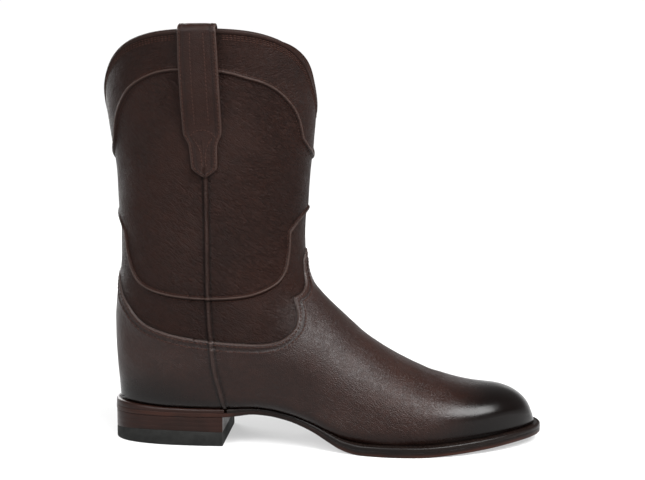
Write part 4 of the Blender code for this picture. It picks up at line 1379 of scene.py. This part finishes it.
def strap_rows(side):
    """(height for the width, x -> outer point, x -> inner point) from the tip
    outside, over the rim, to the end inside."""
    spec = STRAP[side]
    out = []
    zs = list(np.concatenate([np.linspace(190.7, 197.3, 9), np.linspace(198.2, 289, 76)]))
    for z in zs:
        out.append((z, "leg", z))
    for k in range(1, 20):
        out.append((295.0, "bend", math.pi * k / 20))
    for z in np.linspace(289, INNER_END, 28):
        out.append((max(z, 262.0), "inner", z))
    return out


def strap_point(side, kind, v, x, layer):
    spec = STRAP[side]
    if kind == "leg":
        a = shaft_y(side, x, v) + side * spec["off"](v)
        return (x, a + side * spec["thick"] * (1 - layer), v)
    if kind == "inner":
        a = shaft_y(side, x, v) - side * (WALL + INNER_OFF + 0.25)
        return (x, a - side * spec["thick"] * (1 - layer), v)
    y = shaft_y(side, x, LOOP_Z)
    out = y + side * (spec["off"](LOOP_Z) + spec["thick"])
    inn = y - side * (WALL + INNER_OFF + spec["thick"] + 0.25)
    c, r = 0.5 * (out + inn), 0.5 * abs(out - inn)
    k = spec["thick"] * layer
    return (x, c + side * (r - k) * math.cos(v), LOOP_Z + (spec["rise"] - k) * math.sin(v))


# across the strap: distance in from the edge in millimetres -> how far the
# face drops there; a folded edge, a seam groove, and a slack middle
EDGE_IN = (0.0, 0.12, 0.45, 1.0, 1.75, 2.6, 3.4, 4.0, 4.9, 5.8, 7.2, 9.0, 11.0)
EDGE_DROP = (1.15, 0.62, 0.22, 0.05, 0.12, 0.0, 0.0, 0.22, 0.14, 0.06, 0.0, 0.0, 0.0)


def build_strap(side):
    rows_ = strap_rows(side)
    across = []
    for d in EDGE_IN:
        across.append((-1, d))
    across.append((0, 0))
    for d in reversed(EDGE_IN):
        across.append((1, d))
    n_out = len(across)
    back = [(1, 0.35), (0.5, None), (0, None), (-0.5, None), (-1, 0.35)]
    V, F_ = [], []
    n = n_out + len(back)
    for zw, kind, v in rows_:
        mid, half = STRAP_MID(zw), STRAP_HALF(zw)
        for sgn, d in across:
            if sgn == 0:
                x, drop = mid, 0.0
            else:
                x = mid + sgn * max(0.0, half - d)
                if half - d < 0:
                    drop = 0.1
                else:
                    drop = float(np.interp(d, EDGE_IN, EDGE_DROP))
            p0 = np.array(strap_point(side, kind, v, x, 0))
            p1 = np.array(strap_point(side, kind, v, x, 1))
            V.append(p0 + (p1 - p0) * (drop / STRAP[side]["thick"]))
        for sgn, d in back:
            x = mid + sgn * (half - 0.3 if d is None else max(0.0, half - d))
            V.append(np.array(strap_point(side, kind, v, x, 1)))
    for i in range(len(rows_) - 1):
        for k in range(n):
            a_, b_ = i * n + k, i * n + (k + 1) % n
            F_.append((a_, b_, b_ + n, a_ + n))
    F_.append(tuple(range(n - 1, -1, -1)))
    e = (len(rows_) - 1) * n
    F_.append(tuple(range(e, e + n)))
    if side < 0:
        F_ = [tuple(reversed(f)) for f in F_]
    ob = make(STRAP[side]["name"] + "_skin", V, F_, mat_strap)
    pos = np.array(V)
    put(ob, "burnish_and_welt_shade", np.zeros(len(V)))
    rub_highlight_v = np.zeros(len(V))
    idx = np.arange(len(V)) % n
    seam_shade = np.zeros(len(V))
    # painted shade in the strap's seam groove and in the groove of the edge row
    for k, (sgn, d) in enumerate(across):
        if sgn != 0:
            seam_shade[idx == k] = 0.75 * math.exp(-((d - 4.0) / 0.5) ** 2) + 0.35 * math.exp(-((d - 1.75) / 0.4) ** 2)
    # rubbed lighter crest of the folded edge, also serving as a painted highlight
    for k, (sgn, d) in enumerate(across):
        if sgn != 0:
            rub_highlight_v[idx == k] = 0.55 * math.exp(-((d - 0.6) / 0.5) ** 2)
    put(ob, "seam_shade", seam_shade)
    put(ob, "rub_and_highlight", rub_highlight_v)
    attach(ob, "root")
    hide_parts(STRAP[side]["name"])
    return ob


def strap_line(side, pts_, path_kind="leg"):
    """Rows of stitches drawn on the strap's face; pts_ are (z, x from middle)."""
    P_, N_ = [], []
    c2 = catmull([(z, dx) for z, dx in pts_], 0.8)
    for z, dx in c2:
        x = STRAP_MID(z) + dx
        p = np.array(strap_point(side, "leg", z, x, 0))
        q = np.array(strap_point(side, "leg", z, x + 0.5, 0))
        u = np.array(strap_point(side, "leg", z + 0.5, x, 0))
        nn = np.cross(q - p, u - p)
        nn /= np.linalg.norm(nn)
        if nn[1] * side < 0:
            nn = -nn
        P_.append(p - nn * 0.02)
        N_.append(nn)
    return np.array(P_), np.array(N_)


def edge_line(side, inward, z0, z1):
    out = []
    for z in np.linspace(z0, z1, 40):
        out.append((z, STRAP_HALF(z) - inward))
    return out


strap_stitches = []
for side in (-1, 1):
    build_strap(side)
    for inward, low in ((1.75, 197.5), (8.7, 226.0)):
        for sgn in (-1, 1):
            ln = [(z, sgn * max(0.0, STRAP_HALF(z) - inward)) for z in np.linspace(low, 288, 60)]
            strap_stitches.append(strap_line(side, ln))
    for sgn in (-1, 1):
        strap_stitches.append(strap_line(side, [(197.5, sgn * 7.1), (194.8, sgn * 4.6), (192.9, sgn * 1.2)]))
    # arch across the shoulder and the long waisted lines below it
    arch_pts = [(218.5, -8.4), (221.5, -5.4), (222.8, 0.0), (221.5, 5.4), (218.5, 8.4)]
    strap_stitches.append(strap_line(side, arch_pts))
    for sgn in (-1, 1):
        strap_stitches.append(strap_line(side, [(217.5, sgn * 6.6), (213.0, sgn * 3.6), (208.0, sgn * 1.7),
                                                (203.0, sgn * 1.3), (198.5, sgn * 1.5)]))
v_all, f_all = sew(strap_stitches, pitch=2.6, length=2.0, width=0.36, tall=0.26)
ob = make("stitch_straps", v_all, f_all, mat_thread)
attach(ob, "root")

# ---------------------------------------------------------------- sole pieces
def wood_like(name, top, low, dark, rough, scale=1.0, coat=0.03, layers=0.0):
    """Cut and burnished edge leather: fine layers lying flat, stained by height."""
    m = bpy.data.materials.new(name)
    m.use_nodes = True
    nt = m.node_tree
    b = nt.nodes["Principled BSDF"]
    flatv = coords(nt, (60.0, 60.0, 1500.0))
    lay_n = noise(nt, flatv, 1.0, 3.0, 0.6, 0.3)
    plain = coords(nt)
    c = mix_color(nt, ramp(nt, lay_n, 0.35, 0.65), low, top)
    c = mix_color(nt, math_node(nt, "MULTIPLY", ramp(nt, noise(nt, plain, 45.0, 3.0), 0.4, 0.7), 0.5), c, dark)
    st = attr(nt, "stain")
    c = mix_color(nt, st, c, dark)
    nt.links.new(c, b.inputs["Base Color"])
    r = ramp(nt, noise(nt, plain, 120.0, 3.0), 0.3, 0.7, rough - 0.06, rough + 0.08)
    nt.links.new(r, b.inputs["Roughness"])
    h = math_node(nt, "MULTIPLY", lay_n, 0.00012 + layers)
    h = math_node(nt, "MULTIPLY_ADD", noise(nt, plain, 900.0, 2.0), 0.00005, h)
    bp = nt.nodes.new("ShaderNodeBump")
    bp.inputs["Distance"].default_value = 1.0
    nt.links.new(h, bp.inputs["Height"])
    nt.links.new(bp.outputs[0], b.inputs["Normal"])
    b.inputs["Specular IOR Level"].default_value = 0.10
    b.inputs["Coat Weight"].default_value = coat
    b.inputs["Coat Roughness"].default_value = 0.25
    m.diffuse_color = (*top, 1.0)
    return m


def rubber(name, colour):
    m = bpy.data.materials.new(name)
    m.use_nodes = True
    nt = m.node_tree
    b = nt.nodes["Principled BSDF"]
    plain = coords(nt)
    c = mix_color(nt, ramp(nt, noise(nt, plain, 300.0, 4.0), 0.35, 0.7), colour, tuple(x * 1.5 for x in colour))
    nt.links.new(c, b.inputs["Base Color"])
    bp = nt.nodes.new("ShaderNodeBump")
    bp.inputs["Distance"].default_value = 0.00008
    nt.links.new(noise(nt, plain, 1200.0, 3.0, 0.7), bp.inputs["Height"])
    nt.links.new(bp.outputs[0], b.inputs["Normal"])
    nt.links.new(ramp(nt, noise(nt, plain, 80.0, 2.0), 0.3, 0.7, 0.62, 0.8), b.inputs["Roughness"])
    b.inputs["Specular IOR Level"].default_value = 0.08
    m.diffuse_color = (*colour, 1.0)
    return m


mat_sole = wood_like("sole_edge_leather", (0.022, 0.0070, 0.0042), (0.015, 0.0052, 0.0032), (0.0016, 0.0010, 0.0008), 0.34)
mat_stack = wood_like("heel_stack_leather", (0.0110, 0.0040, 0.0027), (0.0088, 0.0033, 0.0023), (0.0040, 0.0019, 0.0014), 0.36,
                      coat=0.03, layers=0.00002)
mat_welt = wood_like("welt_edge_leather", (0.0045, 0.0024, 0.0018), (0.0026, 0.0015, 0.0012), (0.0014, 0.0010, 0.0009), 0.33)
mat_lift = rubber("lift_rubber_dark", (0.0060, 0.0060, 0.0057))


def stations_even(n, round_a=True, round_b=True):
    return end_spaced(0.0, 1.0, n, round_a, round_b)


def end_spaced(a, b, n, round_a, round_b):
    out = []
    for i in range(n + 1):
        u = i / n
        if round_a and round_b:
            u = 0.5 - 0.5 * math.cos(u * math.pi)
        elif round_a:
            u = 1 - math.cos(u * math.pi / 2)
        elif round_b:
            u = math.sin(u * math.pi / 2)
        out.append(a + (b - a) * u)
    return out


def slab(name, rings, n, mat, cut=None, across=14, stain=None, bottom_dish=0.0):
    """Rounded slab: rings of (inset amount, z function) from the bottom face's
    edge up to the top face's edge; both faces are closed with rows across."""
    us = stations_even(n, True, cut is None)
    V, F_ = [], []
    loops = []
    for amount, zf in rings:
        lat, med, xr, xt = sides(inset(fine, amount if callable(amount) else (lambda x, a=amount: a)))
        end = xt if cut is None else cut
        xs = [xr + (end - xr) * u for u in us]
        left, right = [], []
        for i, x in enumerate(xs):
            if i == 0 or (i == n and cut is None):
                y = 0.5 * (lat(x) + med(x))
                left.append((x, y, zf(x)))
                right.append((x, y, zf(x)))
            else:
                left.append((x, lat(x), zf(x)))
                right.append((x, med(x), zf(x)))
        # loop: rear -> toe along lateral, back along medial
        if cut is None:
            loop = left + list(reversed(right[1:-1]))
        else:
            loop = left + list(reversed(right[1:]))
        loops.append((loop, left, right))
    m = len(loops[0][0])
    for loop, _, _ in loops:
        V += loop
    for k in range(len(loops) - 1):
        for i in range(m):
            if cut is not None and i == n:
                continue
            a_, b_ = k * m + i, k * m + (i + 1) % m
            F_.append((a_, b_, b_ + m, a_ + m))

    def li(k, i):
        return k * m + i

    def ri(k, i):
        if i == 0:
            return k * m
        if cut is None and i == n:
            return k * m + n
        if cut is None:
            return k * m + m - i
        return k * m + m - i

    def face(k, flip):
        rows_ = []
        for i in range(n + 1):
            if i == 0 or (i == n and cut is None):
                rows_.append([li(k, i)])
                continue
            p, q = V[li(k, i)], V[ri(k, i)]
            row_ = [li(k, i)]
            for j in range(1, across):
                t = j / across
                row_.append(len(V))
                V.append(tuple(p[c] + (q[c] - p[c]) * t for c in range(3)))
            row_.append(ri(k, i))
            rows_.append(row_)
        for i in range(n):
            p, q = rows_[i], rows_[i + 1]
            if len(p) == 1:
                fs = [(p[0], q[j], q[j + 1]) for j in range(across)]
            elif len(q) == 1:
                fs = [(p[j], q[0], p[j + 1]) for j in range(across)]
            else:
                fs = [(p[j], q[j], q[j + 1], p[j + 1]) for j in range(across)]
            F_.extend([tuple(reversed(f)) if flip else f for f in fs])
        return rows_[-1] if cut is not None else None
    low = face(0, False)
    high = face(len(loops) - 1, True)
    if cut is not None:
        # breast: rows across between the two cut edges
        prev = low
        for k in range(1, len(loops)):
            if k == len(loops) - 1:
                cur = high
            else:
                p, q = V[li(k, n)], V[ri(k, n)]
                cur = [li(k, n)]
                for j in range(1, across):
                    t = j / across
                    cur.append(len(V))
                    V.append(tuple(p[c] + (q[c] - p[c]) * t for c in range(3)))
                cur.append(ri(k, n))
            for j in range(across):
                F_.append((prev[j], cur[j], cur[j + 1], prev[j + 1]))
            prev = cur
    ob = make(name, V, F_, mat)
    me = ob.data
    import bmesh
    bm = bmesh.new()
    bm.from_mesh(me)
    bmesh.ops.recalc_face_normals(bm, faces=bm.faces)
    for e in bm.edges:
        if len(e.link_faces) == 2 and e.calc_face_angle(0.0) > math.radians(48):
            e.smooth = False
    bm.to_mesh(me)
    bm.free()
    P_ = np.array(V)
    put(ob, "stain", np.zeros(len(P_)) if stain is None else stain(P_))
    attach(ob, "root")
    return ob


def off(fn, d):
    return lambda x: fn(x) + d


def sole_top(x):
    return UNDER(x) + THICK(x) + 0.02


def edge_stain(P_):
    """Ink on the sole edge: near black above, bare brown at the very bottom."""
    h = np.array([p[2] - UNDER(p[0]) for p in P_])
    fwd = smooth((P_[:, 0] - 0) / 20.0)
    heel = smooth((-62 - P_[:, 0]) / 6.0)
    return 0.97 * smooth((h - 1.3) / 1.5) * fwd + (1 - fwd) * 0.75 * (1 - heel) + 0.25 * heel


sole = slab("outsole_leather", [(0.9, UNDER), (0.35, off(UNDER, 0.12)), (0.05, off(UNDER, 0.55)),
                                (0.0, off(UNDER, 1.2)), (0.0, lambda x: UNDER(x) + THICK(x) * 0.6),
                                (0.0, lambda x: UNDER(x) + THICK(x) - 0.12), (0.06, sole_top)],
            150, mat_sole, stain=edge_stain)
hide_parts("outsole")

# heel: layers of leather over a rubber lift
n_lift = 3
lift_bevel = 0.5
heel_in = 0.35
lift_ob = slab("top_lift_rubber", [(0.9, lambda x: 0.02), (0.35, lambda x: 0.25), (0.22, lambda x: 0.9),
                                   (0.2, lambda x: LIFT(x) * 0.5), (0.22, off(LIFT, -0.5)),
                                   (0.45, off(LIFT, -0.05))], 70, mat_lift, cut=BREAST - 0.3)
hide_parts("top_lift")


def between(t):
    return lambda x: (LIFT(x) + 0.05) * (1 - t) + (UNDER(x) - 0.02) * t


stack_rings = []
layers = 3
for k in range(layers):
    a_, b_ = k / layers, (k + 1) / layers
    e = 0.035
    stack_rings += [(0.30, between(a_ + 0.004)), (0.24, between(a_ + e)), (0.22, between(a_ + 0.16)),
                    (0.22, between(b_ - 0.16)), (0.24, between(b_ - e)), (0.30, between(b_ - 0.004))]
stack = slab("heel_stack_layers", stack_rings, 70, mat_stack, cut=BREAST - 0.2)
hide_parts("heel_stack")

sock = slab("sock_lining", [(lambda x: FEATHER(x) + 3.6, lambda x: UNDER(x) + THICK(x) + GAP),
                            (lambda x: FEATHER(x) + 3.1, off(TOP, -0.8)),
                            (lambda x: FEATHER(x) + 3.2, off(TOP, -0.2)),
                            (lambda x: FEATHER(x) + 3.9, off(TOP, 0.08))], 90, mat_sock)
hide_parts("insole")


# ---- welt and rand: rounded strips round the upper's foot
def band(name, lo_i, hi_i, profile, mat, node, ends=True):
    """Strip along the outline from index lo_i to hi_i of the fine outline.
    profile: list of (inset function, z function)."""
    lines = [inset(fine, amount if callable(amount) else (lambda x, a=amount: a)) for amount, _ in profile]
    nf = len(fine)
    V, F_ = [], []
    idx = [i % nf for i in range(lo_i, hi_i + 1)]
    k_ = len(profile)
    for i in idx:
        for ln, (_, zf) in zip(lines, profile):
            x, y = ln[i]
            V.append((x, y, zf(fine[i][0])))
    for a_ in range(len(idx) - 1):
        for k in range(k_):
            F_.append((a_ * k_ + k, (a_ + 1) * k_ + k, (a_ + 1) * k_ + (k + 1) % k_, a_ * k_ + (k + 1) % k_))
    F_.append(tuple(range(k_ - 1, -1, -1)))
    F_.append(tuple(range((len(idx) - 1) * k_, len(idx) * k_)))
    ob = make(name, V, F_, mat)
    import bmesh
    bm = bmesh.new()
    bm.from_mesh(ob.data)
    bmesh.ops.recalc_face_normals(bm, faces=bm.faces)
    for e in bm.edges:
        if len(e.link_faces) == 2 and e.calc_face_angle(0.0) > math.radians(55):
            e.smooth = False
    bm.to_mesh(ob.data)
    bm.free()
    put(ob, "stain", np.zeros(len(V)))
    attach(ob, "root")
    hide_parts(node)
    return ob


nf = len(fine)
lat_i = min(range(nf // 2), key=lambda i: abs(fine[i][0] - BREAST))
med_i = min(range(nf // 2, nf), key=lambda i: abs(fine[i][0] - BREAST))


def sole_hi(x):
    return UNDER(x) + THICK(x) + 0.05


deep_in = lambda x: FEATHER(x) + 2.2
welt_profile = [(0.08, sole_hi), (0.0, lambda x: sole_hi(x) + 0.12), (0.0, lambda x: 0.5 * (sole_hi(x) + TOP(x))),
                (0.14, off(TOP, -0.62)), (0.50, off(TOP, -0.16)), (1.0, off(TOP, 0.03)),
                (lambda x: max(1.3, FEATHER(x) * 0.55), off(TOP, 0.02)),
                (lambda x: max(1.5, FEATHER(x) * 0.86), off(TOP, -0.28)),
                (lambda x: FEATHER(x) + 0.3, off(TOP, 0.0)),
                (deep_in, off(TOP, 0.0)), (deep_in, sole_hi)]
welt = band("welt_strip", lat_i + 3, med_i - 3, welt_profile, mat_welt, "welt")
rand_profile = [(0.22, sole_hi), (0.14, lambda x: sole_hi(x) + 0.12), (0.12, lambda x: 0.5 * (sole_hi(x) + TOP(x))),
                (0.30, off(TOP, -0.8)), (0.75, off(TOP, -0.25)), (1.3, off(TOP, 0.02)),
                (lambda x: max(1.6, FEATHER(x) * 0.8), off(TOP, -0.05)),
                (lambda x: FEATHER(x) + 0.4, off(TOP, -0.15)), (deep_in, off(TOP, -0.1)), (deep_in, sole_hi)]
rand = band("heel_rand_strip", med_i - 1, lat_i + nf + 1, rand_profile, mat_stack, "heel_rand")

# welt stitches, from the notch forwards round the toe
welt_rows = []
pl = inset(fine, lambda x: max(1.0, FEATHER(x) * 0.36))
run = [i for i in range(nf) if fine[i][0] > -2]
start = [k for k in range(len(run)) if run[k] - run[k - 1] != 1]
run = run[start[0]:] + run[:start[0]] if start else run
wp = np.array([(pl[i][0], pl[i][1], TOP(fine[i][0]) + 0.02) for i in run])
wn = np.tile(np.array([0.0, 0.0, 1.0]), (len(wp), 1))
v_all, f_all = sew([(wp, wn)], pitch=3.2, length=2.5, width=0.42, tall=0.26, lean=0.16)
ob = make("stitch_welt", v_all, f_all, mat_thread_dark)
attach(ob, "root")

# ---------------------------------------------------------------- floor, lights, camera
fm = bpy.data.materials.new("floor_paper_glow")
fm.use_nodes = True
fb = fm.node_tree.nodes["Principled BSDF"]
fb.inputs["Base Color"].default_value = (0.26, 0.26, 0.26, 1.0)
fb.inputs["Roughness"].default_value = 0.9
fb.inputs["Emission Color"].default_value = (1.0, 1.0, 1.0, 1.0)
# the floor glows with painted light, dimmer next to the boot and brighter away from it
ft = fm.node_tree
fgeo = ft.nodes.new("ShaderNodeTexCoord")
flen = ft.nodes.new("ShaderNodeVectorMath")
flen.operation = "LENGTH"
ft.links.new(fgeo.outputs["Object"], flen.inputs[0])
ft.links.new(ramp(ft, flen.outputs["Value"], 0.25, 1.1, 0.50, 0.86), fb.inputs["Emission Strength"])
fb.inputs["Specular IOR Level"].default_value = 0.1
me = bpy.data.meshes.new("floor")
S = 12.0
me.from_pydata([(-S, -S, 0), (S, -S, 0), (S, S, 0), (-S, S, 0)], [], [(0, 1, 2, 3)])
me.materials.append(fm)
floor = bpy.data.objects.new("floor", me)
bpy.context.scene.collection.objects.link(floor)

world = bpy.data.worlds.new("studio")
bpy.context.scene.world = world
world.use_nodes = True
wt = world.node_tree
bg = wt.nodes["Background"]
# white round the horizon, softer overhead
wtc = wt.nodes.new("ShaderNodeTexCoord")
wsep = wt.nodes.new("ShaderNodeSeparateXYZ")
wt.links.new(wtc.outputs["Generated"], wsep.inputs[0])
wl = ramp(wt, wsep.outputs[2], 0.08, 0.28, 1.02, 0.20)
wt.links.new(wl, bg.inputs[1])
bg.inputs[0].default_value = (1.0, 1.0, 1.0, 1.0)


def soft_light(name, at, to, w, h, power, spread=180):
    d = bpy.data.lights.new(name, "AREA")
    d.shape = "RECTANGLE"
    d.size, d.size_y = w, h
    d.energy = power
    d.spread = math.radians(spread)
    ob = bpy.data.objects.new(name, d)
    ob.location = at
    ob.rotation_euler = (Vector(to) - Vector(at)).to_track_quat("-Z", "Y").to_euler()
    bpy.context.scene.collection.objects.link(ob)
    return ob


soft_light("main_box", (0.80, -0.74, 1.15), (0.04, 0.0, 0.08), 1.15, 1.0, 82)
soft_light("fill_box", (-0.75, -1.15, 0.95), (-0.05, 0.0, 0.14), 0.9, 0.9, 31)
soft_light("back_box", (-0.95, 1.15, 0.75), (0.0, 0.0, 0.14), 1.1, 1.0, 34)
sun_d = bpy.data.lights.new("ceiling", "SUN")
sun_d.energy = 1.55
sun_d.angle = math.radians(60)
sun = bpy.data.objects.new("ceiling", sun_d)
sun.rotation_euler = (math.radians(24), 0.0, math.radians(8))
bpy.context.scene.collection.objects.link(sun)

A_, D_, H_ = math.radians(3.5), 930.0, 247.0
cam_d = bpy.data.cameras.new("camera")
cam = bpy.data.objects.new("camera", cam_d)
cam.location = to_m(-2.5 + D_ * math.sin(A_), -D_ * math.cos(A_), H_)
aim = Vector(to_m(-2.5, 0.0, 143.5))
cam.rotation_euler = (aim - Vector(cam.location)).to_track_quat("-Z", "Y").to_euler()
cam_d.sensor_width = 36.0
cam_d.lens = 1310.0 / 645.0 * 36.0
cam_d.clip_start = 0.05
cam_d.clip_end = 60.0
bpy.context.scene.collection.objects.link(cam)
bpy.context.scene.camera = cam
bpy.context.scene.view_settings.view_transform = "Standard"

bpy.context.view_layer.update()
